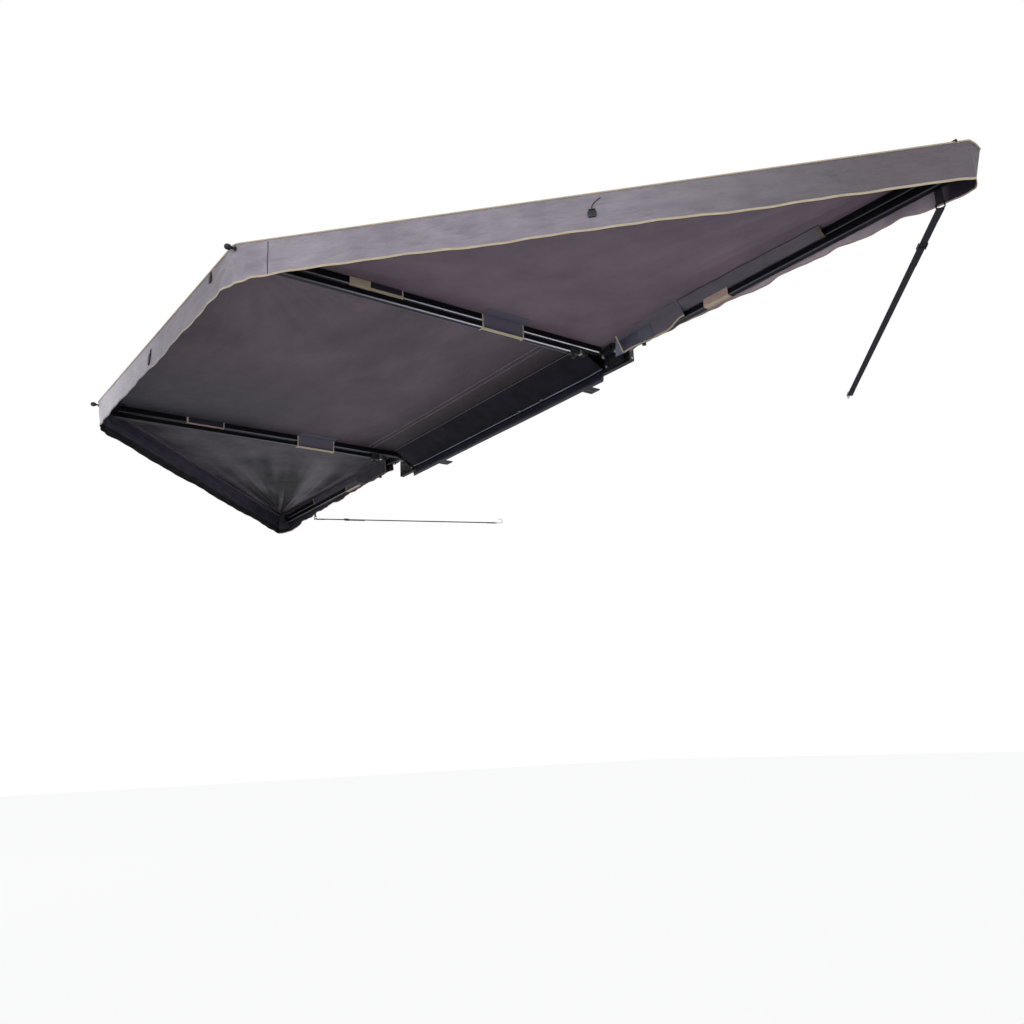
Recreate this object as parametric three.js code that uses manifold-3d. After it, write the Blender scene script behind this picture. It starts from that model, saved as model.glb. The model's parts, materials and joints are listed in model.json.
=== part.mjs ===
// A free-standing folding side awning: a backing rail with a hub near each end, and two
// folding arms on each hub that spread one canopy over half a circle. Millimetres.
// The origin is the centre of the rail's back face. +X runs along the rail to its rear end,
// -Y points away from the rail on the canopy's side and +Z is up.
import * as THREE from 'three';
import { mergeVertices } from 'three/addons/utils/BufferGeometryUtils.js';
import Module from 'manifold-3d';

const wasm = await Module();
wasm.setup();

// Driving dimensions
const railLength = 2000;
const railHeight = 104;
const railDepth = 24;
const hubInset = 90;
const pinPitch = 80;
const armWidth = 25;
const armHeight = 30;
const armWall = 2;
const legWidth = 25;
const legWall = 2;
const legGap = 6;
const clothThickness = 1.6;
const valanceDrop = 130;

// Clearances shared by many pieces
const seat = 0.3;
const overrun = 2;

// Rail section
const slotMouth = 9;
const slotInner = 17;
const slotLip = 3.2;
const slotDepth = 8;
const slotOffset = 28;
const railSkin = 3;
const beadRadius = 3;
const grooveSlack = 0.5;
const grooveInset = 7.2;
const grooveBack = 5.5;

// Pivot stack
const boltRadius = 6;
const boltHeadRadius = 10;
const boltHeadHeight = 7;
const nutHeight = 8;
const earThickness = 5;
const earRadius = 18;
const eyeRadius = 15;
const eyeHeight = 18;

// Heights of the deployed awning, worked out down from the top of the rail
const railTop = railHeight / 2;
const canopyMiddle = railTop - grooveInset;
const canopyBottom = canopyMiddle - clothThickness / 2;
const armTop = canopyBottom - seat;
const armMiddle = armTop - armHeight / 2;
const armBottom = armTop - armHeight;
const legMiddle = armBottom - legGap - legWidth / 2;
const upperEarTop = armTop - boltHeadHeight - seat;
const upperEarBottom = upperEarTop - earThickness;
const eyeTop = upperEarBottom - seat;
const eyeBottom = eyeTop - eyeHeight;
const lowerEarTop = eyeBottom - seat;
const lowerEarBottom = lowerEarTop - earThickness;

// Plan of the pins: folded arms lie side by side, half a pin pitch apart
const hubSpacing = railLength - 2 * hubInset;
const hubX = hubSpacing / 2;
const foldPitch = pinPitch / 2;
const firstPinOffset = 30;
const rearPin = new THREE.Vector2(hubX - foldPitch, -railDepth - firstPinOffset);
const frontPin = new THREE.Vector2(-rearPin.x, rearPin.y - foldPitch);
const rearOuterPin = new THREE.Vector2(rearPin.x + pinPitch, rearPin.y);
const frontOuterPin = new THREE.Vector2(frontPin.x - pinPitch, frontPin.y);

// Reach of the arms: a folded inner arm, with its corner pin, stops short of the other hub
const cornerPinReach = 50;
const foldClearance = 22;
const innerReach = hubSpacing - pinPitch - cornerPinReach - earRadius - foldClearance;
const outerReach = innerReach - foldPitch;

// Colours and finishes
const finish = {
  blackAnodised: new THREE.MeshStandardMaterial({ color: 0x17171b, roughness: 0.38, metalness: 0.75 }),
  blackSteel: new THREE.MeshStandardMaterial({ color: 0x121214, roughness: 0.5, metalness: 0.5 }),
  brightSteel: new THREE.MeshStandardMaterial({ color: 0xb9bbbf, roughness: 0.3, metalness: 0.95 }),
  blackPlastic: new THREE.MeshStandardMaterial({ color: 0x141416, roughness: 0.55, metalness: 0 }),
  rubber: new THREE.MeshStandardMaterial({ color: 0x101010, roughness: 0.85, metalness: 0 }),
  greyCanvas: new THREE.MeshStandardMaterial({ color: 0x8f8a99, roughness: 0.85, metalness: 0 }),
  darkLining: new THREE.MeshStandardMaterial({ color: 0x51494f, roughness: 0.8, metalness: 0 }),
  navyVinyl: new THREE.MeshStandardMaterial({ color: 0x1e1d2b, roughness: 0.5, metalness: 0 }),
  webbing: new THREE.MeshStandardMaterial({ color: 0x15161f, roughness: 0.8, metalness: 0 }),
};

const awning = new THREE.Group();

// Solids: joins and cuts
const solidOf = (geometry) => {
  const bare = geometry.clone();
  bare.deleteAttribute('normal');
  bare.deleteAttribute('uv');
  const merged = mergeVertices(bare);
  return new wasm.Manifold(new wasm.Mesh({
    numProp: 3,
    vertProperties: new Float32Array(merged.attributes.position.array),
    triVerts: new Uint32Array(merged.index.array),
  }));
};

const geometryOf = (solid) => {
  const mesh = solid.getMesh();
  const geometry = new THREE.BufferGeometry();
  geometry.setAttribute('position', new THREE.BufferAttribute(mesh.vertProperties, 3));
  geometry.setIndex(new THREE.BufferAttribute(mesh.triVerts, 1));
  geometry.computeVertexNormals();
  return geometry;
};

const join = (...geometries) => geometryOf(
  geometries.map(solidOf).reduce((whole, next) => whole.add(next)));

const cut = (geometry, ...tools) => geometryOf(
  tools.map(solidOf).reduce((whole, tool) => whole.subtract(tool), solidOf(geometry)));

// Basic forms, each given by its limits in the frame of its own piece
const block = (x0, x1, y0, y1, z0, z1) => new THREE.BoxGeometry(x1 - x0, y1 - y0, z1 - z0)
  .translate((x0 + x1) / 2, (y0 + y1) / 2, (z0 + z1) / 2);

const uprightRod = (radius, x, y, z0, z1, sides = 16) => new THREE.CylinderGeometry(
  radius, radius, z1 - z0, sides)
  .rotateX(Math.PI / 2)
  .translate(x, y, (z0 + z1) / 2);

const rodAlongX = (radius, x0, x1, y, z, sides = 12) => new THREE.CylinderGeometry(
  radius, radius, x1 - x0, sides)
  .rotateZ(-Math.PI / 2)
  .translate((x0 + x1) / 2, y, z);

const rodAlongY = (radius, y0, y1, x, z, sides = 12) => new THREE.CylinderGeometry(
  radius, radius, y1 - y0, sides)
  .translate(x, (y0 + y1) / 2, z);

// A section drawn in Y and Z, run along X
const sectionToX = new THREE.Matrix4().makeBasis(
  new THREE.Vector3(0, 1, 0), new THREE.Vector3(0, 0, 1), new THREE.Vector3(1, 0, 0));

const runAlongX = (shape, x0, x1, curveSegments = 5) => new THREE.ExtrudeGeometry(
  shape, { depth: x1 - x0, bevelEnabled: false, curveSegments })
  .applyMatrix4(sectionToX)
  .translate(x0, 0, 0);

// A plan outline drawn in X and Y, run up Z
const runUp = (shape, z0, z1, curveSegments = 8) => new THREE.ExtrudeGeometry(
  shape, { depth: z1 - z0, bevelEnabled: false, curveSegments })
  .translate(0, 0, z0);

const roundedRectangle = (path, width, height, radius, cx = 0, cy = 0) => {
  const [x0, x1, y0, y1] = [cx - width / 2, cx + width / 2, cy - height / 2, cy + height / 2];
  path.moveTo(x0 + radius, y0);
  path.lineTo(x1 - radius, y0);
  path.absarc(x1 - radius, y0 + radius, radius, -Math.PI / 2, 0, false);
  path.lineTo(x1, y1 - radius);
  path.absarc(x1 - radius, y1 - radius, radius, 0, Math.PI / 2, false);
  path.lineTo(x0 + radius, y1);
  path.absarc(x0 + radius, y1 - radius, radius, Math.PI / 2, Math.PI, false);
  path.lineTo(x0, y0 + radius);
  path.absarc(x0 + radius, y0 + radius, radius, Math.PI, Math.PI * 1.5, false);
  return path;
};

// A plate outline that runs from a straight edge at y0 to a round end about the pin at y1
const tongue = (x, y0, y1, halfWidth, radius) => {
  const shape = new THREE.Shape();
  const turn = Math.sign(y1 - y0);
  const reach = Math.sqrt(radius * radius - halfWidth * halfWidth);
  const start = Math.atan2(-turn * reach, halfWidth);
  const end = Math.atan2(-turn * reach, -halfWidth);
  shape.moveTo(x - halfWidth, y0);
  shape.lineTo(x + halfWidth, y0);
  shape.lineTo(x + halfWidth, y1 - turn * reach);
  shape.absarc(x, y1, radius, start, end, turn < 0);
  shape.closePath();
  return shape;
};

// A thin closed sheet over a grid: place(u, v) gives a point and the wall is set off along away
const sheet = (across, along, place, away) => {
  const row = along + 1;
  const layer = (across + 1) * row;
  const position = [];
  const index = [];
  for (const offset of [0, 1]) {
    for (let i = 0; i <= across; i += 1) {
      for (let j = 0; j <= along; j += 1) {
        position.push(...place(i / across, j / along).addScaledVector(away, offset).toArray());
      }
    }
  }
  const quad = (a, b, c, d) => index.push(a, b, c, a, c, d);
  for (let i = 0; i < across; i += 1) {
    for (let j = 0; j < along; j += 1) {
      const a = i * row + j;
      quad(a, a + 1, a + row + 1, a + row);
      quad(layer + a, layer + a + row, layer + a + row + 1, layer + a + 1);
    }
  }
  for (let i = 0; i < across; i += 1) {
    const a = i * row;
    const b = a + along;
    quad(a, a + row, layer + a + row, layer + a);
    quad(b + row, b, layer + b, layer + b + row);
  }
  for (let j = 0; j < along; j += 1) {
    const a = j;
    const b = across * row + j;
    quad(a + 1, a, layer + a, layer + a + 1);
    quad(b, b + 1, layer + b + 1, layer + b);
  }
  const geometry = new THREE.BufferGeometry();
  geometry.setAttribute('position', new THREE.Float32BufferAttribute(position, 3));
  geometry.setIndex(index);
  geometry.computeVertexNormals();
  const volume = solidOf(geometry).volume();
  if (volume > 0) return geometry;
  geometry.setIndex(index.map((_, k) => index[k - (k % 3) + (2 - (k % 3))]));
  geometry.computeVertexNormals();
  return geometry;
};

const add = (parent, name, geometry, material) => {
  const mesh = new THREE.Mesh(geometry, material);
  mesh.name = name;
  parent.add(mesh);
};

// Backing rail: an aluminium extrusion with two bolt slots in its back and a bead groove above
// and below its front face
const grooveRadius = beadRadius + grooveSlack;
const grooveMouth = clothThickness + 2 * grooveSlack;
const grooveY = -railDepth + grooveBack;
const bottomGrooveZ = -canopyMiddle;

const boltSlot = (shape, z) => {
  const back = -slotLip - slotDepth;
  shape.lineTo(0, z - slotMouth / 2);
  shape.lineTo(-slotLip, z - slotMouth / 2);
  shape.lineTo(-slotLip, z - slotInner / 2);
  shape.lineTo(back, z - slotInner / 2);
  shape.lineTo(back, z + slotInner / 2);
  shape.lineTo(-slotLip, z + slotInner / 2);
  shape.lineTo(-slotLip, z + slotMouth / 2);
  shape.lineTo(0, z + slotMouth / 2);
};

const beadGroove = (shape, z) => {
  const half = Math.asin(grooveMouth / 2 / grooveRadius);
  shape.lineTo(-railDepth, z + grooveMouth / 2);
  shape.absarc(grooveY, z, grooveRadius, Math.PI - half, Math.PI + half, true);
  shape.lineTo(-railDepth, z - grooveMouth / 2);
};

const chamber = (y0, y1, z0, z1) => roundedRectangle(
  new THREE.Path(), y1 - y0, z1 - z0, chamberRadius, (y0 + y1) / 2, (z0 + z1) / 2);

const chamberRadius = 1;
const chamberFront = -railDepth + railSkin;
const middleChamber = slotOffset - slotInner / 2 - railSkin;
const makeRail = () => {
  const shape = new THREE.Shape();
  shape.moveTo(0, -railTop);
  boltSlot(shape, -slotOffset);
  boltSlot(shape, slotOffset);
  shape.lineTo(0, railTop);
  shape.lineTo(-railDepth, railTop);
  beadGroove(shape, canopyMiddle);
  beadGroove(shape, bottomGrooveZ);
  shape.lineTo(-railDepth, -railTop);
  shape.closePath();
  shape.holes.push(chamber(chamberFront, -slotLip, -middleChamber, middleChamber));
  for (const side of [-1, 1]) {
    const [z0, z1] = [side * slotOffset - slotInner / 2, side * slotOffset + slotInner / 2];
    shape.holes.push(chamber(chamberFront, -slotLip - slotDepth - railSkin, z0, z1));
  }
  return runAlongX(shape, -railLength / 2, railLength / 2, 4);
};
add(awning, 'backing_rail', makeRail(), finish.blackAnodised);

// End caps: a plate over the end of the rail with a plug in its middle chamber
const capThickness = 4;
const capPlug = 14;
const capCorner = 3;
const capOverhang = 0.6;
const makeEndCap = (side) => {
  const outline = roundedRectangle(new THREE.Shape(), railDepth + 2 * capOverhang,
    railHeight + 2 * capOverhang, capCorner, -railDepth / 2, 0);
  const end = railLength / 2 + seat;
  const plate = runAlongX(outline, end, end + capThickness, 3);
  const plug = block(end - seat - capPlug, end + overrun, chamberFront + seat, -slotLip - seat,
    -middleChamber + seat, middleChamber - seat);
  const cap = join(plate, plug);
  return side > 0 ? cap : cap.rotateY(Math.PI);
};
add(awning, 'rail_end_cap_rear', makeEndCap(1), finish.blackPlastic);
add(awning, 'rail_end_cap_front', makeEndCap(-1), finish.blackPlastic);

// Hub brackets: a plate on the front of the rail with two ears that carry the first pin
const plateThickness = 6;
const plateHalfWidth = 62;
const plateCorner = 8;
const plateBelow = 6;
const ribThickness = 5;
const ribToe = 14;
const boreRadius = boltRadius + seat;
const plateFront = -railDepth - seat - plateThickness;
const plateBottom = -railTop + plateBelow;

const makeHubBracket = (pin, side) => {
  const outline = roundedRectangle(new THREE.Shape(), 2 * plateHalfWidth, upperEarTop - plateBottom,
    plateCorner, side * hubX, (upperEarTop + plateBottom) / 2);
  const plate = new THREE.ExtrudeGeometry(outline, {
    depth: plateThickness, bevelEnabled: false, curveSegments: 4,
  })
    .rotateX(Math.PI / 2)
    .translate(0, -railDepth - seat, 0);
  const ear = tongue(pin.x, plateFront + overrun, pin.y, earRadius, earRadius);
  const ribShape = new THREE.Shape();
  ribShape.moveTo(plateFront + overrun, plateBottom + plateCorner);
  ribShape.lineTo(plateFront + overrun, lowerEarTop - overrun);
  ribShape.lineTo(pin.y + ribToe, lowerEarTop - overrun);
  ribShape.lineTo(pin.y + ribToe, lowerEarBottom - overrun);
  ribShape.lineTo(plateFront, plateBottom + plateCorner);
  const rib = runAlongX(ribShape, pin.x - ribThickness / 2, pin.x + ribThickness / 2);
  const ears = [runUp(ear, lowerEarBottom, lowerEarTop), runUp(ear, upperEarBottom, upperEarTop)];
  const bore = uprightRod(boreRadius, pin.x, pin.y, lowerEarBottom - overrun, upperEarTop + overrun);
  return cut(join(plate, ...ears, rib), bore);
};
add(awning, 'hub_bracket_rear', makeHubBracket(rearPin, 1), finish.blackSteel);
add(awning, 'hub_bracket_front', makeHubBracket(frontPin, -1), finish.blackSteel);

// Pivot bolts: head, shank and nut, clear of the ears by the seat
const hexSides = 6;
const makePivotBolt = (pin) => {
  const nutTop = lowerEarBottom - seat;
  return join(
    uprightRod(boltHeadRadius, pin.x, pin.y, upperEarTop + seat, upperEarTop + boltHeadHeight, hexSides),
    uprightRod(boltRadius, pin.x, pin.y, nutTop - nutHeight - overrun, upperEarTop + boltHeadHeight / 2),
    uprightRod(boltHeadRadius, pin.x, pin.y, nutTop - nutHeight, nutTop, hexSides));
};
add(awning, 'pivot_bolt_a', makePivotBolt(rearPin), finish.brightSteel);
add(awning, 'pivot_bolt_b', makePivotBolt(rearOuterPin), finish.brightSteel);
add(awning, 'pivot_bolt_c', makePivotBolt(frontPin), finish.brightSteel);
add(awning, 'pivot_bolt_d', makePivotBolt(frontOuterPin), finish.brightSteel);

// Mounting brackets: an angle bolted to the slots, with a slotted foot for what carries the awning
const mountPlaceShare = 0.32;
const mountX = railLength * mountPlaceShare;
const mountWidth = 60;
const mountPlate = 6;
const mountFoot = 95;
const mountInset = 4;
const mountSlotLength = 34;
const mountSlotSpread = 30;
const mountSlotInset = 34;
const mountRib = 5;
const mountRibShare = 0.55;
const studRadius = 4;
const stud = { headLength: 22, headWidth: 14, headThickness: 6, nutRadius: 7.5, nutHeight: 6.5, tail: 4 };

const makeMountBracket = (x) => {
  const [x0, x1] = [x - mountWidth / 2, x + mountWidth / 2];
  const floor = -railTop;
  const leg = block(x0, x1, seat, seat + mountPlate, floor, railTop - mountInset);
  const foot = block(x0, x1, seat, seat + mountFoot, floor, floor + mountPlate);
  const ribShape = new THREE.Shape();
  ribShape.moveTo(seat, floor);
  ribShape.lineTo(seat + mountFoot * mountRibShare, floor);
  ribShape.lineTo(seat + mountPlate, floor + railHeight * mountRibShare);
  ribShape.lineTo(seat, floor + railHeight * mountRibShare);
  const ribs = [runAlongX(ribShape, x0, x0 + mountRib), runAlongX(ribShape, x1 - mountRib, x1)];
  const slots = [-1, 1].map((side) => {
    const middle = seat + mountFoot - mountSlotInset;
    const slot = roundedRectangle(new THREE.Shape(), 2 * studRadius + 2 * seat, mountSlotLength,
      studRadius + seat - grooveSlack / 2, x + side * mountSlotSpread / 2, middle);
    return runUp(slot, floor - overrun, floor + mountPlate + overrun, 4);
  });
  const holes = [-1, 1].map((side) => rodAlongY(studRadius + seat, 0, seat + mountPlate + overrun, x,
    side * slotOffset));
  return cut(join(leg, foot, ...ribs), ...slots, ...holes);
};

const makeMountBolt = (x, z) => {
  const nutFace = seat + mountPlate + seat;
  const headFace = -slotLip - seat;
  return join(
    block(x - stud.headLength / 2, x + stud.headLength / 2, headFace - stud.headThickness, headFace,
      z - stud.headWidth / 2, z + stud.headWidth / 2),
    rodAlongY(studRadius, headFace - stud.headThickness / 2, nutFace + stud.nutHeight + stud.tail, x, z),
    rodAlongY(stud.nutRadius, nutFace, nutFace + stud.nutHeight, x, z, hexSides));
};

for (const [name, x] of [['rear', mountX], ['front', -mountX]]) {
  add(awning, `mount_bracket_${name}`, makeMountBracket(x), finish.blackSteel);
  add(awning, `mount_bolt_${name}_upper`, makeMountBolt(x, slotOffset), finish.brightSteel);
  add(awning, `mount_bolt_${name}_lower`, makeMountBolt(x, -slotOffset), finish.brightSteel);
}

// Travel cover: unzipped and empty, it hangs down the rail's face from the lower bead groove
const coverDrop = 52;
const coverBelly = 11;
const coverRoll = 5;
const coverGap = 14;
const coverShoulderShare = 0.35;
const coverBeadSides = 10;
const makeCover = () => {
  const face = -railDepth - seat;
  const top = bottomGrooveZ + clothThickness / 2;
  const low = top - coverDrop;
  const half = hubX - plateHalfWidth - coverGap;
  const shape = new THREE.Shape();
  shape.moveTo(face, top);
  shape.lineTo(face - clothThickness, top);
  shape.bezierCurveTo(face - clothThickness, top - coverDrop * coverShoulderShare,
    face - coverBelly, top - coverDrop * coverShoulderShare, face - coverBelly, low + coverRoll);
  shape.bezierCurveTo(face - coverBelly, low, face, low, face, low + coverRoll);
  shape.closePath();
  const neck = block(-half, half, face - clothThickness / 2, grooveY,
    bottomGrooveZ - clothThickness / 2, top);
  const bead = rodAlongX(beadRadius, -half, half, grooveY, bottomGrooveZ, coverBeadSides);
  return join(runAlongX(shape, -half, half), neck, bead);
};
add(awning, 'travel_cover', makeCover(), finish.navyVinyl);

// Arms. Each arm's pieces are made along +X from its pin, with the next pin at +Y or -Y, and
// are then turned and moved to that pin
const socketStart = earRadius + overrun;
const socketLength = 14;
const socketEnd = socketStart + socketLength;
const plugLength = 40;
const pillarGap = 2.5;
const pillarHalf = 14;
const webHalf = 12;
const armCorner = 3;
const legCorner = 2.5;

const makeKnuckle = (side) => {
  const pieces = [
    uprightRod(eyeRadius, 0, 0, eyeBottom, eyeTop),
    block(0, socketStart + overrun, -webHalf, webHalf, eyeBottom, eyeTop),
    block(socketStart, socketEnd, -armWidth / 2, armWidth / 2, armBottom, armTop),
    block(socketEnd - overrun, socketEnd + plugLength, -armWidth / 2 + armWall + seat,
      armWidth / 2 - armWall - seat, armBottom + armWall + seat, armTop - armWall - seat),
  ];
  const bores = [uprightRod(boreRadius, 0, 0, eyeBottom - overrun, eyeTop + overrun)];
  if (side) {
    const near = side * (earRadius + pillarGap);
    const far = side * (pinPitch - earRadius);
    const ear = tongue(0, far - side * overrun, side * pinPitch, earRadius, earRadius);
    pieces.push(
      block(-webHalf, webHalf, Math.min(0, near + side * overrun), Math.max(0, near + side * overrun),
        eyeBottom, eyeTop),
      block(-pillarHalf, pillarHalf, Math.min(near, far), Math.max(near, far), lowerEarBottom, upperEarTop),
      runUp(ear, lowerEarBottom, lowerEarTop),
      runUp(ear, upperEarBottom, upperEarTop));
    bores.push(uprightRod(boreRadius, 0, side * pinPitch, lowerEarBottom - overrun, upperEarTop + overrun));
  }
  return cut(join(...pieces), ...bores);
};

// A hollow rectangular tube from x0 to x1 about the height z
const makeTube = (x0, x1, z, width, height, wall, corner) => {
  const section = roundedRectangle(new THREE.Shape(), width, height, corner, 0, z);
  section.holes.push(roundedRectangle(new THREE.Path(), width - 2 * wall, height - 2 * wall,
    Math.max(corner - wall, seat), 0, z));
  return runAlongX(section, x0, x1, 2);
};

// The tip closes the arm, forks round the head of the leg and holds the corner pin
const tipLength = 74;
const tipInset = 2;
const legPivotInset = 38;
const legEarThickness = 4;
const legEarRadius = 13;
const legPinRadius = 4;
const legPinHead = 6.5;
const legPinHeadHeight = 2.5;
const cornerPinDepth = 45;
const cornerPinRadius = 4;
const cornerKnobRadius = 10.5;
const cornerKnobLength = 30;
const cornerKnobSides = 12;
const knobTaperShare = 0.45;
const cornerPinDrop = 10.5;
const tipNose = 6;
const legHeadRadius = legWidth / 2;
const forkHalf = legWidth / 2 + seat + legEarThickness;
const cornerPinZ = armTop - cornerPinDrop;

const makeArmTube = (reach) => makeTube(
  socketEnd + seat, reach - tipLength - seat, armMiddle, armWidth, armHeight, armWall, armCorner);

const makeArmTip = (reach) => {
  const start = reach - tipLength;
  const end = reach - tipInset;
  const pivot = reach - legPivotInset;
  const outline = new THREE.Shape();
  outline.moveTo(start, -forkHalf);
  outline.lineTo(end - tipNose, -forkHalf);
  outline.lineTo(end, -forkHalf + tipNose);
  outline.lineTo(end, forkHalf - tipNose);
  outline.lineTo(end - tipNose, forkHalf);
  outline.lineTo(start, forkHalf);
  outline.closePath();
  const plug = block(start - plugLength, start + overrun, -armWidth / 2 + armWall + seat,
    armWidth / 2 - armWall - seat, armBottom + armWall + seat, armTop - armWall - seat);
  const ear = tongue(pivot, armBottom + overrun, legMiddle, legEarRadius, legEarRadius);
  const ears = [-1, 1].map((side) => new THREE.ExtrudeGeometry(ear, {
    depth: legEarThickness, bevelEnabled: false, curveSegments: 7,
  })
    .rotateX(Math.PI / 2)
    .translate(0, side > 0 ? forkHalf : legEarThickness - forkHalf, 0));
  const heads = [-1, 1].map((side) => rodAlongY(legPinHead, Math.min(side * (forkHalf - overrun),
    side * (forkHalf + legPinHeadHeight)), Math.max(side * (forkHalf - overrun),
    side * (forkHalf + legPinHeadHeight)), pivot, legMiddle, hexSides));
  const solid = join(runUp(outline, armBottom, armTop), plug, ...ears,
    rodAlongY(legPinRadius, -forkHalf, forkHalf, pivot, legMiddle), ...heads);
  const socket = rodAlongX(cornerPinRadius + seat, reach - cornerPinDepth - seat, reach + overrun, 0,
    cornerPinZ);
  return cut(solid, socket);
};

// A corner pin ends in a bullet-shaped knob, turned about the pin
const makeCornerPin = (reach) => {
  const end = reach + cornerPinReach;
  const start = end - cornerKnobLength;
  const taper = cornerKnobLength * knobTaperShare;
  const rod = rodAlongX(cornerPinRadius, reach - cornerPinDepth, start + overrun, 0, cornerPinZ, 10);
  const half = new THREE.Path();
  half.moveTo(0, 0);
  half.lineTo(cornerPinRadius, 0);
  half.bezierCurveTo(cornerPinRadius, taper / 2, cornerKnobRadius, taper / 2, cornerKnobRadius, taper);
  half.absarc(0, cornerKnobLength - cornerKnobRadius, cornerKnobRadius, 0, Math.PI / 2, false);
  const outline = half.getPoints(4).map(({ x, y }) => [Math.max(x, 0), y]);
  const knob = geometryOf(wasm.Manifold.revolve([outline], cornerKnobSides))
    .rotateY(Math.PI / 2)
    .translate(start, 0, cornerPinZ);
  return join(rod, knob);
};

// Legs: an outer tube hung from the fork, with a clamp at its free end, and an inner tube that
// slides out of it and carries the foot
const footStart = 100;
const footLength = 28;
const footPlug = 32;
const innerStart = footStart + footLength + seat;
const lockStart = 150;
const lockLength = 50;
const lockGrip = 12;
const lockShell = 3.2;
const lockWall = 3;
const lockHalf = legWidth / 2 + seat + lockShell;
const knobRadius = 9;
const knobNeck = 5;
const knobHeight = 16;
const legSlack = 0.5;
const legEndGap = 238;
const innerWidth = legWidth - 2 * legWall - 2 * legSlack;
const outerStart = lockStart + lockGrip + lockWall;

const makeLegTube = (reach) => {
  const pivot = reach - legPivotInset;
  const headStart = pivot - 2 * legHeadRadius;
  const tube = makeTube(outerStart, headStart, legMiddle, legWidth, legWidth, legWall, legCorner);
  const head = new THREE.Shape();
  head.moveTo(headStart - overrun, legMiddle - legHeadRadius);
  head.lineTo(pivot, legMiddle - legHeadRadius);
  head.absarc(pivot, legMiddle, legHeadRadius, -Math.PI / 2, Math.PI / 2, false);
  head.lineTo(headStart - overrun, legMiddle + legHeadRadius);
  head.closePath();
  const solid = new THREE.ExtrudeGeometry(head, { depth: legWidth, bevelEnabled: false, curveSegments: 7 })
    .rotateX(Math.PI / 2)
    .translate(0, legWidth / 2, 0);
  return cut(join(tube, solid),
    rodAlongY(legPinRadius + seat, -legWidth / 2 - overrun, legWidth / 2 + overrun, pivot, legMiddle));
};

const makeLegInner = () => makeTube(innerStart, outerReach - legPivotInset - legWidth - legEndGap, legMiddle,
  innerWidth, innerWidth, legWall, legWall + seat);

const makeLegFoot = () => {
  const half = legWidth / 2;
  const plugHalf = innerWidth / 2 - legWall - seat;
  const shape = new THREE.Shape();
  shape.moveTo(footStart + footLength, legMiddle - half);
  shape.lineTo(footStart + footLength, legMiddle + half);
  shape.lineTo(footStart + half, legMiddle + half);
  shape.absarc(footStart + half, legMiddle, half, Math.PI / 2, Math.PI * 1.5, false);
  shape.closePath();
  const pad = new THREE.ExtrudeGeometry(shape, { depth: legWidth, bevelEnabled: false, curveSegments: 7 })
    .rotateX(Math.PI / 2)
    .translate(0, half, 0);
  const plug = block(footStart + footLength - overrun, footStart + footLength + footPlug,
    -plugHalf, plugHalf, legMiddle - plugHalf, legMiddle + plugHalf);
  return cut(join(pad, plug),
    rodAlongY(legPinRadius, -half - overrun, half + overrun, footStart + half, legMiddle));
};

// The clamp hugs the inner tube, sleeves over the end of the outer one and has a thumb screw
const makeLegLock = () => {
  const end = lockStart + lockLength;
  const bore = innerWidth / 2 + seat;
  const sleeve = legWidth / 2 + seat;
  const screw = join(
    uprightRod(knobNeck, lockStart + lockLength / 2, 0, legMiddle - lockHalf - knobHeight / 2,
      legMiddle - sleeve - seat, 16),
    uprightRod(knobRadius, lockStart + lockLength / 2, 0, legMiddle - lockHalf - knobHeight,
      legMiddle - lockHalf - knobHeight / 2 + overrun, 12));
  const body = block(lockStart, end, -lockHalf, lockHalf, legMiddle - lockHalf, legMiddle + lockHalf);
  return cut(join(body, screw),
    block(lockStart - overrun, lockStart + lockGrip + overrun, -bore, bore,
      legMiddle - bore, legMiddle + bore),
    block(lockStart + lockGrip, end + overrun, -sleeve, sleeve, legMiddle - sleeve, legMiddle + sleeve));
};

// Wraps: a band sewn to the canopy on both sides that holds the folded leg up against the arm
const wrapThickness = 1.8;
const wrapSlack = 0.8;
const wrapRound = 5;
const makeWrap = (from, to) => {
  const inner = Math.max(armWidth, legWidth) / 2 + wrapSlack;
  const outer = inner + wrapThickness;
  const low = legMiddle - legWidth / 2 - wrapSlack;
  const shape = new THREE.Shape();
  shape.moveTo(outer, armTop);
  shape.lineTo(inner, armTop);
  shape.lineTo(inner, low + wrapRound);
  shape.absarc(inner - wrapRound, low + wrapRound, wrapRound, 0, -Math.PI / 2, true);
  shape.lineTo(-inner + wrapRound, low);
  shape.absarc(-inner + wrapRound, low + wrapRound, wrapRound, -Math.PI / 2, -Math.PI, true);
  shape.lineTo(-inner, armTop);
  shape.lineTo(-outer, armTop);
  shape.lineTo(-outer, low + wrapRound);
  shape.absarc(-inner + wrapRound, low + wrapRound, wrapRound + wrapThickness, Math.PI, Math.PI * 1.5,
    false);
  shape.lineTo(inner - wrapRound, low - wrapThickness);
  shape.absarc(inner - wrapRound, low + wrapRound, wrapRound + wrapThickness, -Math.PI / 2, 0, false);
  shape.closePath();
  return runAlongX(shape, from, to, 3);
};

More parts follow.
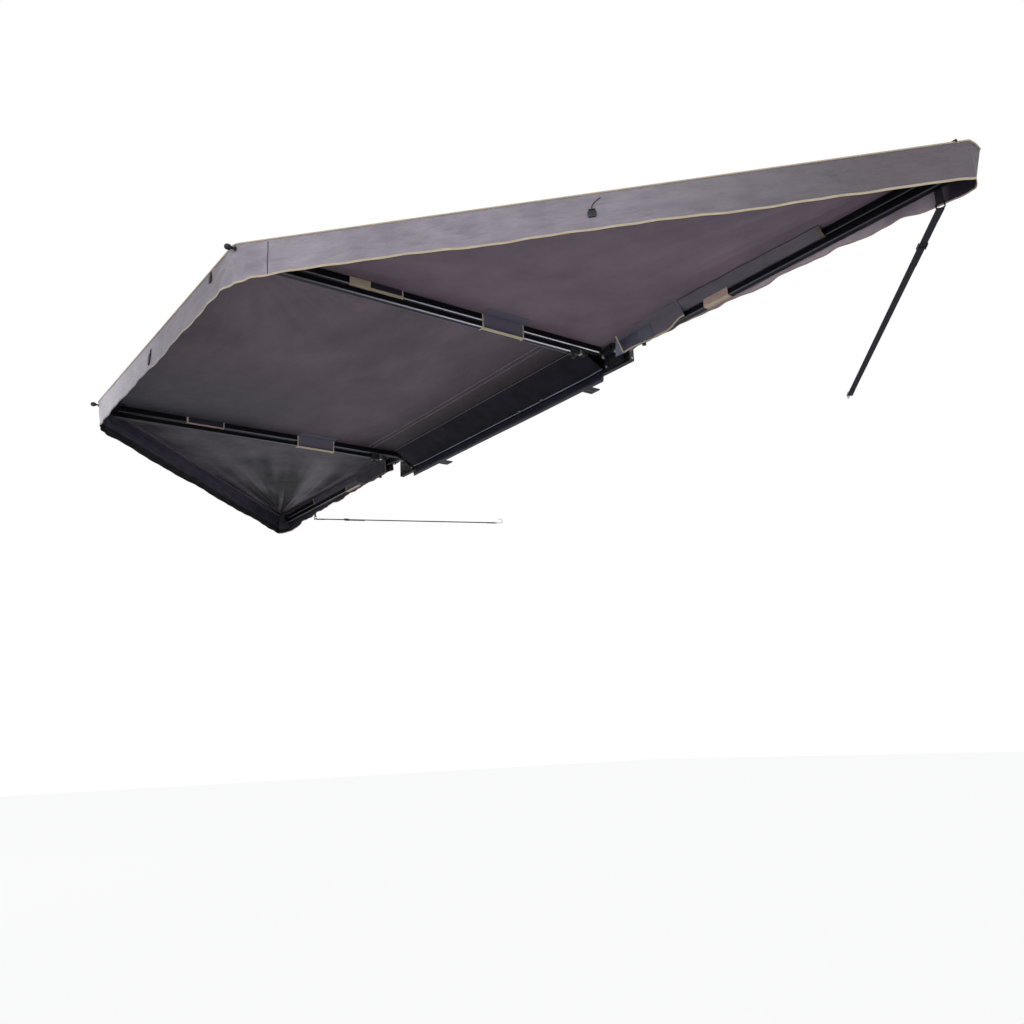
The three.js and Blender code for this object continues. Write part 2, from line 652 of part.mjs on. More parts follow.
const wrapShares = { a: [0.273, 0.397], b: [0.312, 0.392], c: [0.263, 0.393], d: [0.27, 0.376] };
const armPlan = [
  { letter: 'a', pin: rearPin, turn: -Math.PI / 2, side: 1, reach: innerReach },
  { letter: 'b', pin: rearOuterPin, turn: 0, side: 0, reach: outerReach },
  { letter: 'c', pin: frontPin, turn: -Math.PI / 2, side: -1, reach: innerReach },
  { letter: 'd', pin: frontOuterPin, turn: Math.PI, side: 0, reach: outerReach },
];
for (const { letter, pin, turn, side, reach } of armPlan) {
  const [wrapFrom, wrapTo] = wrapShares[letter].map((share) => share * reach);
  const put = (name, geometry, material) => add(
    awning, `${name}_${letter}`, geometry.rotateZ(turn).translate(pin.x, pin.y, 0), material);
  put('knuckle', makeKnuckle(side), finish.blackSteel);
  put('arm_tube', makeArmTube(reach), finish.blackAnodised);
  put('arm_tip', makeArmTip(reach), finish.blackSteel);
  put('corner_pin', makeCornerPin(reach), finish.blackSteel);
  put('leg_tube', makeLegTube(reach), finish.blackAnodised);
  put('leg_inner', makeLegInner(), finish.brightSteel);
  put('leg_foot', makeLegFoot(), finish.rubber);
  put('leg_lock', makeLegLock(), finish.blackPlastic);
  put('wrap', makeWrap(wrapFrom, wrapTo), finish.navyVinyl);
}

// Canopy: three panels that meet over the inner arms, and a valance along each part of the hem
const clothOverhang = 12;
const seamGap = 0.4;
const middleColumns = 16;
const outerColumns = 14;
const panelRows = 10;
const panelSag = 14;
const outerCorner = 46;
const railFace = -railDepth - seat;
const canopyTop = canopyBottom + clothThickness;
const down = new THREE.Vector3(0, 0, -clothThickness);
const cornerRear = new THREE.Vector2(rearPin.x, rearPin.y - innerReach - clothOverhang);
const cornerFront = new THREE.Vector2(frontPin.x, frontPin.y - innerReach - clothOverhang);
const endRear = new THREE.Vector2(rearOuterPin.x + outerReach + clothOverhang, rearPin.y - outerCorner);
const endFront = new THREE.Vector2(frontOuterPin.x - outerReach - clothOverhang, frontPin.y - outerCorner);

// A dip that is flat along both arms and along the hem
const dip = (p, q) => (p * p * q * q * Math.max(1 - p - q, 0)) / ((2 / 5) ** 4 / 5);

const makeMiddlePanel = () => {
  const cloth = sheet(middleColumns, panelRows, (u, v) => {
    const x = THREE.MathUtils.lerp(rearPin.x, frontPin.x, u);
    const hem = THREE.MathUtils.lerp(cornerRear.y, cornerFront.y, u);
    const ripple = Math.sin(Math.PI * u) ** 2 * Math.sin(Math.PI * v) ** 2;
    return new THREE.Vector3(x, THREE.MathUtils.lerp(railFace, hem, v), canopyTop - panelSag * ripple);
  }, new THREE.Vector3(0, 0, -clothThickness));
  const bead = rodAlongX(beadRadius, frontPin.x, rearPin.x, grooveY, canopyMiddle, 10);
  const neck = block(frontPin.x, rearPin.x, railFace - overrun, grooveY, canopyBottom, canopyTop);
  return join(cloth, neck, bead);
};
add(awning, 'canopy_middle', makeMiddlePanel(), finish.greyCanvas);

// An outer panel runs from an inner arm to an outer one, with a loose flap behind the outer arm
const flapDrop = 118;
const flapWave = 4;
const flapSeat = 20;
const flapWaves = 6;
const flapDropShares = [0.56, 0.47, 0.36, 0.52, 0.68, 0.84, 1];
const flapColumns = 36;
const flapRows = 2;
const flapStart = railLength / 2 + capThickness + 2 * overrun;
const flapDrops = new THREE.SplineCurve(flapDropShares.map((share, k) => new THREE.Vector2(k, share)));
const makeOuterPanel = (pin, corner, end, side) => {
  const line = (a, b) => (side > 0 ? [a, b] : [b, a]);
  const inner = pin.x + side * seamGap;
  const flapY = pin.y + flapSeat;
  const top = Math.min(flapY + clothThickness, railFace);
  const cloth = sheet(outerColumns, panelRows, (u, v) => {
    const along = side > 0 ? u : 1 - u;
    const x = THREE.MathUtils.lerp(inner, end.x, along);
    const hem = THREE.MathUtils.lerp(corner.y, end.y, along);
    const y = THREE.MathUtils.lerp(top, hem, v);
    const q = Math.max((pin.y - y) / (pin.y - corner.y), 0);
    return new THREE.Vector3(x, y, canopyTop - panelSag * dip(along, q));
  }, down);
  const [x0, x1] = line(side * flapStart, end.x);
  const flap = sheet(flapColumns, flapRows, (u, v) => {
    const along = side > 0 ? u : 1 - u;
    const wave = flapWave * Math.sin(2 * Math.PI * flapWaves * along);
    const drop = flapDrop * flapDrops.getPoint(along).y + wave;
    return new THREE.Vector3(THREE.MathUtils.lerp(x0, x1, u), flapY, canopyTop - drop * v);
  }, new THREE.Vector3(0, clothThickness, 0));
  return join(cloth, flap);
};
add(awning, 'canopy_rear', makeOuterPanel(rearPin, cornerRear, endRear, 1), finish.greyCanvas);
add(awning, 'canopy_front', makeOuterPanel(frontPin, cornerFront, endFront, -1), finish.greyCanvas);

// Valances hang from the hem in shallow waves, parted at the corners for the pins
const valanceThickness = 2;
const valanceGap = 7;
const valanceWave = 5;
const middleWaveCount = 5;
const outerWaveCount = 6;
const stepsPerWave = 8;
const valanceRows = 2;
const makeValance = (from, to, waves, gapFrom, gapTo) => {
  const direction = to.clone().sub(from).normalize();
  const outward = new THREE.Vector2(-direction.y, direction.x);
  const start = from.clone().addScaledVector(direction, gapFrom);
  const span = to.clone().addScaledVector(direction, -gapTo).sub(start);
  return sheet(waves * stepsPerWave, valanceRows, (u, v) => {
    const swing = seat + valanceWave * v * Math.sin(Math.PI * waves * u) ** 2;
    const at = start.clone().addScaledVector(span, u).addScaledVector(outward, swing);
    return new THREE.Vector3(at.x, at.y, canopyTop - (valanceDrop + clothThickness) * v);
  }, new THREE.Vector3(outward.x, outward.y, 0).multiplyScalar(valanceThickness));
};
add(awning, 'valance_rear', makeValance(endRear, cornerRear, outerWaveCount, 0, 2 * valanceGap),
  finish.greyCanvas);
add(awning, 'valance_middle', makeValance(cornerRear, cornerFront, middleWaveCount, valanceGap, valanceGap),
  finish.greyCanvas);
add(awning, 'valance_front', makeValance(cornerFront, endFront, outerWaveCount, 2 * valanceGap, 0),
  finish.greyCanvas);

// Tie straps: a tab sewn under the canopy's inner edge falls behind the flap to a ring, and a
// webbing strap runs from the ring back to a wire hook
const strapWidth = 25;
const strapThickness = 1.5;
const strapGap = 0.5;
const tabFall = 104;
const ringHeight = 18;
const ringWire = 3;
const ringCorner = 4;
const strapPlaceShares = { rear: 0.916, front: 0.72 };
const hookAlong = 437;
const hookBehind = 1031;
const hookBelow = 150;
const hookWire = 3.5;
const hookReach = 42;
const hookMouth = 13;
const hookShank = 12;
const hookSteps = 14;
const hookSides = 4;

const makeRing = (x, y, top) => {
  const shape = roundedRectangle(new THREE.Shape(), strapWidth + 2 * ringWire, ringHeight, ringCorner, x,
    top - ringHeight / 2 + ringWire);
  shape.holes.push(roundedRectangle(new THREE.Path(), strapWidth, ringHeight - 2 * ringWire,
    ringCorner - ringWire, x, top - ringHeight / 2 + ringWire));
  return new THREE.ExtrudeGeometry(shape, { depth: ringWire, bevelEnabled: false, curveSegments: 3 })
    .rotateX(Math.PI / 2)
    .translate(0, y + ringWire / 2, 0);
};

// The hook, made along +X: a bar across the end of the webbing and an open bow of wire
const makeHook = () => {
  const bow = new THREE.CatmullRomCurve3([
    new THREE.Vector3(0, 0, 0),
    new THREE.Vector3(hookShank, 0, 0),
    new THREE.Vector3(hookReach - hookMouth, 0, 0),
    new THREE.Vector3(hookReach, 0, hookMouth),
    new THREE.Vector3(hookReach - hookMouth, 0, 2 * hookMouth),
    new THREE.Vector3(hookShank + hookWire, 0, 2 * hookMouth),
  ]);
  const wire = new THREE.Shape();
  wire.absarc(0, 0, hookWire, 0, Math.PI * 2, false);
  const bowSolid = new THREE.ExtrudeGeometry(wire, {
    steps: hookSteps, extrudePath: bow, curveSegments: hookSides,
  });
  return join(bowSolid, rodAlongY(hookWire, -strapWidth / 2 - ringWire, strapWidth / 2 + ringWire, 0, 0));
};

const makeStrap = (pin, placeShare) => {
  const side = Math.sign(pin.x);
  const x = pin.x + side * outerReach * placeShare;
  const back = pin.y + flapSeat + clothThickness + strapGap;
  const tabEnd = canopyBottom - seat - tabFall;
  const tab = block(x - strapWidth / 2, x + strapWidth / 2, back, back + strapThickness,
    tabEnd, canopyBottom - seat);
  const start = new THREE.Vector3(x, back + strapThickness / 2, tabEnd - ringHeight + 3 * ringWire / 2);
  const end = new THREE.Vector3(pin.x + side * hookAlong, pin.y + hookBehind, -hookBelow);
  const pull = end.clone().sub(start);
  const length = pull.length();
  const across = new THREE.Vector3(0, 0, 1).cross(pull).normalize();
  pull.normalize();
  const turn = new THREE.Matrix4().makeBasis(pull, across, pull.clone().cross(across));
  const band = block(0, length, -strapWidth / 2, strapWidth / 2, -strapThickness / 2, strapThickness / 2);
  const hook = makeHook().translate(length, 0, 0);
  return join(join(band, hook).applyMatrix4(turn).translate(start.x, start.y, start.z), tab,
    makeRing(x, back + ringWire / 2, tabEnd));
};
add(awning, 'tie_strap_rear', makeStrap(rearOuterPin, strapPlaceShares.rear), finish.webbing);
add(awning, 'tie_strap_front', makeStrap(frontOuterPin, strapPlaceShares.front), finish.webbing);

export default awning;
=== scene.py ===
# A free-standing folding side awning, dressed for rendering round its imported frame.
# Metres. +X runs along the backing rail to its rear end, -Y points away from the rail and +Z is up.
import json
import math

import bpy
from mathutils import Matrix, Vector


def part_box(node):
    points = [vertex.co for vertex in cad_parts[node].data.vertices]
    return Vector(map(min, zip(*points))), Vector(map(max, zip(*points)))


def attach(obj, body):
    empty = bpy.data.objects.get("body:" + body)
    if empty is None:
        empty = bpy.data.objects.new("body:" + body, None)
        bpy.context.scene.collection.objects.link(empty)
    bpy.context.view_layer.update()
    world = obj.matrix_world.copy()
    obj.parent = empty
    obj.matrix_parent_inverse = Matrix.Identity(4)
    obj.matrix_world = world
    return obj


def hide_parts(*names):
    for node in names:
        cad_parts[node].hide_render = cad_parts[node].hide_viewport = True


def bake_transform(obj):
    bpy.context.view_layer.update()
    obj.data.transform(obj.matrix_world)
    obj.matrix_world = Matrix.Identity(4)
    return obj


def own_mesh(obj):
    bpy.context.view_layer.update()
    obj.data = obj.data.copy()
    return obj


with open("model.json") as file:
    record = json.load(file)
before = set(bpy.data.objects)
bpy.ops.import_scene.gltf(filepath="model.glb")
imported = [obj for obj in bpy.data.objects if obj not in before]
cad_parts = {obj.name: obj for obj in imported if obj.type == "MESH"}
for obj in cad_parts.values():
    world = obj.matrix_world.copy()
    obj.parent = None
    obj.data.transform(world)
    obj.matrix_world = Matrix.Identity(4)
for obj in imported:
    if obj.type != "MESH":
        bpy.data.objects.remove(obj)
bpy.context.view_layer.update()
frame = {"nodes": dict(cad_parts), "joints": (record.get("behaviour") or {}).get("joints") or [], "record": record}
print("frame loaded")


# Small modelling tools
def clearSelection():
    if bpy.context.object and bpy.context.object.mode != "OBJECT":
        bpy.ops.object.mode_set(mode="OBJECT")
    bpy.ops.object.select_all(action="DESELECT")


def choose(*objects):
    clearSelection()
    for each in objects:
        each.select_set(True)
    bpy.context.view_layer.objects.active = objects[0]
    return objects[0]


def applyModifiers(piece):
    choose(piece)
    for modifier in list(piece.modifiers):
        bpy.ops.object.modifier_apply(modifier=modifier.name)


def settle(piece, matrix=None):
    # the place goes into the mesh, and the object stays at the origin
    if matrix is not None:
        piece.matrix_world = matrix @ piece.matrix_world
    choose(piece)
    bpy.ops.object.transform_apply(location=True, rotation=True, scale=True)
    return piece


def smoothen(piece, angle=35):
    choose(piece)
    bpy.ops.object.shade_smooth_by_angle(angle=math.radians(angle))


def join(name, parts):
    choose(*parts)
    if len(parts) > 1:
        bpy.ops.object.join()
    whole = bpy.context.object
    whole.name = name
    whole.data.name = name
    return whole


def addBevel(piece, width, angle=30):
    bevel = piece.modifiers.new("edges", "BEVEL")
    bevel.width = width
    bevel.segments = 2
    bevel.limit_method = "ANGLE"
    bevel.angle_limit = math.radians(angle)
    bevel.harden_normals = False


def coat(piece, *finishes):
    piece.data.materials.clear()
    for each in finishes:
        piece.data.materials.append(each)


def lerp(low, high, share):
    return low + (high - low) * share


def ease(share):
    share = min(max(share, 0.0), 1.0)
    return share * share * (3 - 2 * share)


def unease(weight):
    # the share at which ease gives this weight
    return 0.5 - math.sin(math.asin(1 - 2 * min(max(weight, 0.0), 1.0)) / 3)


def readTable(table, place):
    # eased between the rows of a table of (place, value)
    for (before, low), (after, high) in zip(table, table[1:]):
        if place <= after:
            return lerp(low, high, ease((place - before) / (after - before)))
    return table[-1][1]


def layPoints(corners, count):
    # evenly spaced points along an open line through corners
    corners = [Vector(corner) for corner in corners]
    lengths = [(b - a).length for a, b in zip(corners, corners[1:])]
    points = []
    for k in range(count + 1):
        run = sum(lengths) * k / count
        for index, length in enumerate(lengths):
            if run <= length or index == len(lengths) - 1:
                points.append(tuple(corners[index].lerp(corners[index + 1], min(run / length, 1))))
                break
            run -= length
    return points


def finishFaces(piece, finish, chosen):
    # gives finish to the faces that chosen(centre, normal) picks
    piece.data.materials.append(finish)
    last = len(piece.data.materials) - 1
    for polygon in piece.data.polygons:
        if chosen(polygon.center, polygon.normal):
            polygon.material_index = last


def makeGrid(name, columns, rows, place, size=(1.0, 1.0), origin=0.0):
    # a grid whose points are moved by place(u, v), with a UV map in metres of cloth
    clearSelection()
    bpy.ops.mesh.primitive_grid_add(x_subdivisions=columns, y_subdivisions=rows, size=1)
    piece = bpy.context.object
    piece.name = name
    piece.data.name = name
    for loop in piece.data.uv_layers.active.data:
        loop.uv = (loop.uv.x * size[0] + origin, loop.uv.y * size[1])
    for vertex in piece.data.vertices:
        vertex.co = place(vertex.co.x + 0.5, vertex.co.y + 0.5)
    piece.data.update()
    return piece


def face(piece, way):
    # turns the faces over if they look away from way
    total = Vector()
    for polygon in piece.data.polygons:
        total += polygon.normal * polygon.area
    if total.dot(Vector(way)) < 0:
        choose(piece)
        bpy.ops.object.mode_set(mode="EDIT")
        bpy.ops.mesh.select_all(action="SELECT")
        bpy.ops.mesh.flip_normals()
        bpy.ops.object.mode_set(mode="OBJECT")


def thicken(piece, wall, inner=0, rim=0, offset=-1.0):
    solidify = piece.modifiers.new("wall", "SOLIDIFY")
    solidify.thickness = wall
    solidify.offset = offset
    solidify.material_offset = inner
    solidify.material_offset_rim = rim
    applyModifiers(piece)
    bpy.ops.object.shade_smooth_by_angle(angle=math.radians(50))


def makeSheet(name, columns, rows, place, way, wall, size, finishes, inner=0, origin=0.0):
    piece = makeGrid(name, columns, rows, place, size, origin)
    face(piece, way)
    coat(piece, *finishes)
    thicken(piece, wall, inner)
    return piece


def makeTube(name, columns, rows, place, size, finish, origin=0.0):
    # a grid rolled round to meet itself, with both ends closed
    piece = makeGrid(name, columns, rows, place, size, origin)
    choose(piece)
    bpy.ops.object.mode_set(mode="EDIT")
    bpy.ops.mesh.select_all(action="SELECT")
    bpy.ops.mesh.remove_doubles(threshold=1e-6)
    bpy.ops.mesh.select_all(action="DESELECT")
    bpy.ops.mesh.select_non_manifold()
    bpy.ops.mesh.fill_holes(sides=0)
    bpy.ops.mesh.select_all(action="SELECT")
    bpy.ops.mesh.normals_make_consistent(inside=False)
    bpy.ops.object.mode_set(mode="OBJECT")
    coat(piece, finish)
    smoothen(piece, 50)
    return piece


def sweep(name, line, section, finish, ways=None, origin=0.0):
    # a closed section of (across, up) points carried along a line of points
    count = len(line) - 1
    corners = len(section)
    spots = []
    for k, point in enumerate(line):
        ahead = (line[min(k + 1, count)] - line[max(k - 1, 0)]).normalized()
        upward = Vector(ways[k]) if ways else Vector((0, 0, 1))
        across = ahead.cross(upward).normalized()
        upward = across.cross(ahead).normalized()
        spots.append([point + across * a + upward * b for a, b in section])
    run = sum((line[k + 1] - line[k]).length for k in range(count))

    def place(u, v):
        return spots[round(u * count)][round(v * corners) % corners]

    return makeTube(name, count, corners, place, (run, 0.01 * corners), finish, origin)


def roundSection(radius, sides=10):
    turn = 2 * math.pi / sides
    return [(radius * math.cos(k * turn), radius * math.sin(k * turn)) for k in range(sides)]


def boxSection(width, height, low=0.0, shift=0.0):
    left, right = shift - width / 2, shift + width / 2
    return [(left, low), (right, low), (right, low + height), (left, low + height)]


def makeBlock(name, low, high, finish, bevel):
    low, high = Vector(low), Vector(high)
    clearSelection()
    bpy.ops.mesh.primitive_cube_add(size=1, location=(low + high) / 2)
    piece = bpy.context.object
    piece.scale = high - low
    piece.name = name
    settle(piece)
    addBevel(piece, bevel)
    applyModifiers(piece)
    smoothen(piece)
    coat(piece, finish)
    return piece


def makeRod(name, radius, start, end, finish, sides=32, bevel=0.0005):
    start, end = Vector(start), Vector(end)
    clearSelection()
    bpy.ops.mesh.primitive_cylinder_add(vertices=sides, radius=radius, depth=(end - start).length)
    piece = bpy.context.object
    piece.name = name
    turn = (end - start).to_track_quat("Z", "Y").to_matrix().to_4x4()
    settle(piece, Matrix.Translation((start + end) / 2) @ turn)
    addBevel(piece, bevel, 50)
    applyModifiers(piece)
    smoothen(piece)
    coat(piece, finish)
    return piece


# Colours are given as a screen shows them, from 0 to 255
def paint(red, green, blue):
    def linear(level):
        share = level / 255
        return share / 12.92 if share < 0.04045 else ((share + 0.055) / 1.055) ** 2.4

    return (linear(red), linear(green), linear(blue), 1.0)


class Shade:
    # one socket of a node tree, so that shader maths reads as plain maths
    def __init__(self, tree, socket=None):
        self.tree = tree
        self.socket = socket

    def node(self, kind, settings=None, values=None, output=0):
        made = self.tree.nodes.new(kind)
        for name, value in (settings or {}).items():
            setattr(made, name, value)
        for name, value in (values or {}).items():
            if isinstance(value, Shade):
                self.tree.links.new(value.socket, made.inputs[name])
            else:
                made.inputs[name].default_value = value
        return Shade(self.tree, made.outputs[output])

    def maths(self, operation, first, second=0.0):
        return self.node("ShaderNodeMath", {"operation": operation}, {0: first, 1: second})

    def __add__(self, other):
        return self.maths("ADD", self, other)

    def __radd__(self, other):
        return self.maths("ADD", other, self)

    def __sub__(self, other):
        return self.maths("SUBTRACT", self, other)

    def __rsub__(self, other):
        return self.maths("SUBTRACT", other, self)

    def __mul__(self, other):
        return self.maths("MULTIPLY", self, other)

    def __rmul__(self, other):
        return self.maths("MULTIPLY", other, self)

    def __truediv__(self, other):
        return self.maths("DIVIDE", self, other)

    def __pow__(self, other):
        return self.maths("POWER", self, other)

    def most(self, other):
        return self.maths("MAXIMUM", self, other)

    def axis(self, index):
        return self.node("ShaderNodeSeparateXYZ", None, {0: self}, index)

    def rise(self, low, high):
        # 0 below low, 1 above high and smooth between them
        smooth = {"interpolation_type": "SMOOTHSTEP"}
        return self.node("ShaderNodeMapRange", smooth, {0: self, 1: low, 2: high})

    def blend(self, first, second):
        # first where this is 0 and second where it is 1
        return self.node("ShaderNodeMix", {"data_type": "RGBA"}, {0: self, 6: first, 7: second}, 2)

    def stretch(self, factors):
        return self.node("ShaderNodeVectorMath", {"operation": "MULTIPLY"}, {0: self, 1: factors})

    def noise(self, scale, detail=3.0, roughness=0.55):
        values = {"Vector": self, "Scale": scale, "Detail": detail, "Roughness": roughness}
        return self.node("ShaderNodeTexNoise", None, values)

    def ridge(self, pitch):
        # rises from 0 to 1 and falls back once in each pitch
        return self.maths("PINGPONG", self, pitch / 2) / (pitch / 2)

    def pull(self, corner, count, reach):
        # folds that fan out from a stretched corner, about -1 to 1, and fade with distance; the cloth paints them
        # as light and shade and bumps with them
        across = self.axis(0) - corner[0]
        along = self.axis(1) - corner[1]
        away = (across * across + along * along) ** 0.5
        angle = self.maths("ARCTAN2", across, along)
        fan = self.node("ShaderNodeCombineXYZ", None, {0: angle * count, 1: away * 0.7})
        fade = away.rise(0.0, 0.1) * (1 - away.rise(reach * 0.3, reach))
        return (fan.noise(1.0, 2.0, 0.5) * 5 - 2.5) * fade


def newFinish(name):
    material = bpy.data.materials.new(name)
    material.use_nodes = True
    return material, Shade(material.node_tree), material.node_tree.nodes["Principled BSDF"]


def connect(start, shader, values):
    for name, value in values.items():
        if isinstance(value, Shade):
            start.tree.links.new(value.socket, shader.inputs[name])
        else:
            shader.inputs[name].default_value = value


def bump(start, height, distance, strength=1.0):
    values = {"Height": height, "Distance": distance, "Strength": strength}
    return start.node("ShaderNodeBump", None, values)


# Cloth: a coated ripstop weave, mottled by handling, with soft creases whose light and shade are also painted into
# its colour
def makeClothFinish(name, light, dark, crease=0.008, stretch=(1.0, 1.0), pulls=(), tint=None, fine=0.16):
    material, start, shader = newFinish(name)
    cloth = start.node("ShaderNodeUVMap", {"uv_map": "UVMap"})
    rib = cloth.axis(0).ridge(0.0055).most(cloth.axis(1).ridge(0.0055)).rise(0.82, 1.0)
    thread = cloth.noise(900.0, 1.0)
    mottle = cloth.noise(1.7, 3.0, 0.5).rise(0.3, 0.7)
    smudge = cloth.noise(9.0, 4.0, 0.6).rise(0.35, 0.75)
    way = cloth.stretch((stretch[0], stretch[1], 1.0))
    folds = way.noise(5.0, 3.0, 0.5)
    small = way.noise(24.0, 3.0, 0.55)
    # mottle and smudge are the cloth's own uneven tone; the folds and small creases add painted light and shade
    toneAndFoldShade = mottle * 0.4 + smudge * 0.14 + folds.rise(0.3, 0.7) * 0.26
    toneAndFoldShade = toneAndFoldShade + small.rise(0.3, 0.7) * fine * 0.6 + rib * 0.1
    height = folds + small * fine + rib * 0.008 + thread * 0.004
    # each corner's fan of folds is painted as streaks of light and shade, and bumps the cloth too
    for corner, count, reach, strength in pulls:
        fan = cloth.pull(corner, count, reach)
        toneAndFoldShade = toneAndFoldShade + fan * (0.5 * strength)
        height = height + fan * (0.5 * strength)
    tone = toneAndFoldShade.blend(dark, light)
    connect(start, shader, {
        "Base Color": tint(cloth, tone) if tint else tone,
        "Roughness": 0.56 + smudge * 0.12,
        "Normal": bump(start, height, crease),
        "Specular IOR Level": 0.32,
    })
    return material


# Coated vinyl: smooth, a little glossy, with a fine grain and soft waves
def makeVinylFinish(name, light, dark, roughness=0.42, wave=0.003, pale=None, shine=0.5):
    material, start, shader = newFinish(name)
    place = start.node("ShaderNodeTexCoord", None, None, 3)
    grain = place.noise(1400.0, 2.0)
    swell = place.noise(11.0, 3.0, 0.5)
    scuff = place.stretch((1.0, 3.0, 3.0)).noise(30.0, 5.0, 0.65).rise(0.52, 0.8)
    tone = (swell.rise(0.3, 0.7) * 0.7 + scuff * 0.3).blend(dark, light)
    if pale is not None:
        # the part nearest the canopy catches the light
        top = 1 - start.node("ShaderNodeUVMap", {"uv_map": "UVMap"}).axis(1).rise(0.035, 0.075)
        tone = (top * 0.9).blend(tone, pale)
    connect(start, shader, {
        "Base Color": tone,
        "Roughness": roughness + scuff * 0.16,
        "Normal": bump(start, swell + grain * 0.01, wave),
        "Specular IOR Level": shine,
    })
    return material


# Tape: a ribbed weave that runs along its UV map
def makeTapeFinish(name, light, dark, rib=0.0012, fade=None):
    material, start, shader = newFinish(name)
    tape = start.node("ShaderNodeUVMap", {"uv_map": "UVMap"})
    ridge = tape.axis(0).ridge(rib)
    wear = tape.stretch((1.0, 8.0, 1.0)).noise(22.0, 4.0, 0.6).rise(0.35, 0.7)
    tone = (wear * 0.7 + ridge * 0.3).blend(dark, light)
    if fade is not None:
        first, last, colour = fade
        tone = (tape.axis(0).rise(first, last) * 0.9).blend(tone, colour)
    connect(start, shader, {
        "Base Color": tone,
        "Roughness": 0.8,
        "Normal": bump(start, ridge + wear * 0.4, 0.0005),
        "Specular IOR Level": 0.3,
    })
    return material


# Webbing: a herringbone of threads that falls off at its edges
def makeWebbingFinish(name, light, dark, width):
    material, start, shader = newFinish(name)
    web = start.node("ShaderNodeUVMap", {"uv_map": "UVMap"})
    run = web.axis(0)
    side = web.axis(1)
    chevron = (run + side.ridge(width / 2) * (width / 4)).ridge(0.0022)
    edge = side.ridge(width).rise(0.0, 0.18)
    fluff = web.noise(260.0, 3.0)
    connect(start, shader, {
        "Base Color": (chevron * 0.6 + fluff * 0.4).blend(dark, light),
        "Roughness": 0.78 + fluff * 0.1,
        "Normal": bump(start, chevron * 0.6 + edge, 0.0006),
        "Specular IOR Level": 0.3,
    })
    return material


# Metal: satin, with brush lines along one axis. An arm or leg has a painted highlight, a brighter line low on its
# sides
def makeMetalFinish(name, colour, worn, roughness, metallic, brush=(1.0, 60.0, 60.0), line=None):
    material, start, shader = newFinish(name)
    place = start.node("ShaderNodeTexCoord", None, None, 3)
    lines = place.stretch(brush).noise(26.0, 4.0, 0.65)
    patch = place.noise(14.0, 4.0, 0.6).rise(0.45, 0.8)
    tone = (lines.rise(0.4, 0.75) * 0.45 + patch * 0.35).blend(colour, worn)
    metal = metallic
    # painted highlight: a pale band low on each side, not metallic, brighter near the hub
    if line is not None:
        level = place.axis(2) - line["low"]
        away = start.maths("ABSOLUTE", place.axis(line["across"]) - line["pin"][1])
        highlightMask = away.rise(0.0095, 0.0105) * (1 - level.rise(0.0035, 0.0055))
        run = (place.axis(line["along"]) - line["pin"][0]) * line["side"]
        shine = run.rise(0.12, 0.4).blend(line["hub"], line["middle"])
        tone = highlightMask.blend(tone, run.rise(0.5, 1.5).blend(shine, line["tip"]))
        metal = metallic * (1 - highlightMask)
    connect(start, shader, {
        "Base Color": tone,
        "Roughness": roughness + patch * 0.12 + lines * 0.08,
        "Metallic": metal,
        "Normal": bump(start, lines, 0.0003, 0.5),
    })
    return material


# Powder coat and moulded plastic: a fine orange peel, paler where it is rubbed
def makeGrainFinish(name, colour, rubbed, roughness, grain=900.0, depth=0.00025, metallic=0.0):
    material, start, shader = newFinish(name)
    place = start.node("ShaderNodeTexCoord", None, None, 3)
    peel = place.noise(grain, 2.0)
    handling = place.noise(17.0, 5.0, 0.65).rise(0.5, 0.82)
    connect(start, shader, {
        "Base Color": (handling * 0.55).blend(colour, rubbed),
        "Roughness": roughness + handling * 0.14,
        "Metallic": metallic,
        "Normal": bump(start, peel, depth),
    })
    return material


webWidth = 0.025
clothTones = {
    "canvas": (paint(164, 157, 166), paint(112, 107, 118)),
    "canvasShadeTone": paint(86, 78, 82),
    "canvasLightTone": paint(206, 200, 206),
    # the lining is one cloth: the rear panel's tones and the rear flap's, lighter still, are painted light, and
    # the front panel's are painted shade
    "rear": (paint(128, 110, 122), paint(92, 78, 88)),
    "middle": (paint(112, 96, 106), paint(74, 63, 71)),
    "middleFarShade": paint(56, 56, 61),
    "middleRailShade": paint(32, 24, 30),
    "front": (paint(104, 98, 104), paint(28, 25, 32)),
    "flap": (paint(206, 192, 201), paint(130, 119, 129)),
    "valance": (paint(74, 68, 84), paint(42, 38, 52)),
    "sleeve": (paint(112, 104, 114), paint(74, 68, 78)),
    "sleeveShaded": (paint(66, 60, 68), paint(38, 35, 42)),
}
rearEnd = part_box("valance_rear")
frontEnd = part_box("valance_front")
pullSpots = {
    "rearEnd": (rearEnd[1].x, rearEnd[1].y),
    "rearCorner": (rearEnd[0].x, rearEnd[0].y),
    "frontCorner": (frontEnd[1].x, frontEnd[0].y),
    "frontEnd": (frontEnd[0].x, frontEnd[1].y),
}
# folds from a stretched corner, painted into the lining as streaks of light and shade and also bumped: where, how
# many, how far and how strong
clothPulls = {
    "rear": ((pullSpots["rearEnd"], 16, 1.7, 0.35), (pullSpots["rearCorner"], 9, 1.2, 0.3)),
    "middle": ((pullSpots["rearCorner"], 8, 1.1, 0.25), (pullSpots["frontCorner"], 8, 1.1, 0.2)),
    "front": ((pullSpots["frontEnd"], 7, 1.9, 2.3), (pullSpots["frontCorner"], 9, 0.9, 0.3)),
}


def middleShading(cloth, tone):
    # painted shade: greyer and darker towards the front corner, and darkest beside the rail
    far = (1 - cloth.axis(0).rise(-0.9, 0.3)) * (1 - cloth.axis(1).rise(-1.3, -0.3))
    rail = cloth.axis(1).rise(-0.62, -0.12)
    return (rail * 0.95).blend((far * 0.9).blend(tone, clothTones["middleFarShade"]), clothTones["middleRailShade"])


def valanceTint(cloth, tone):
    # near black along the inside of the lower edge
    return cloth.axis(1).rise(0.088, 0.096).blend(tone, paint(18, 16, 20))


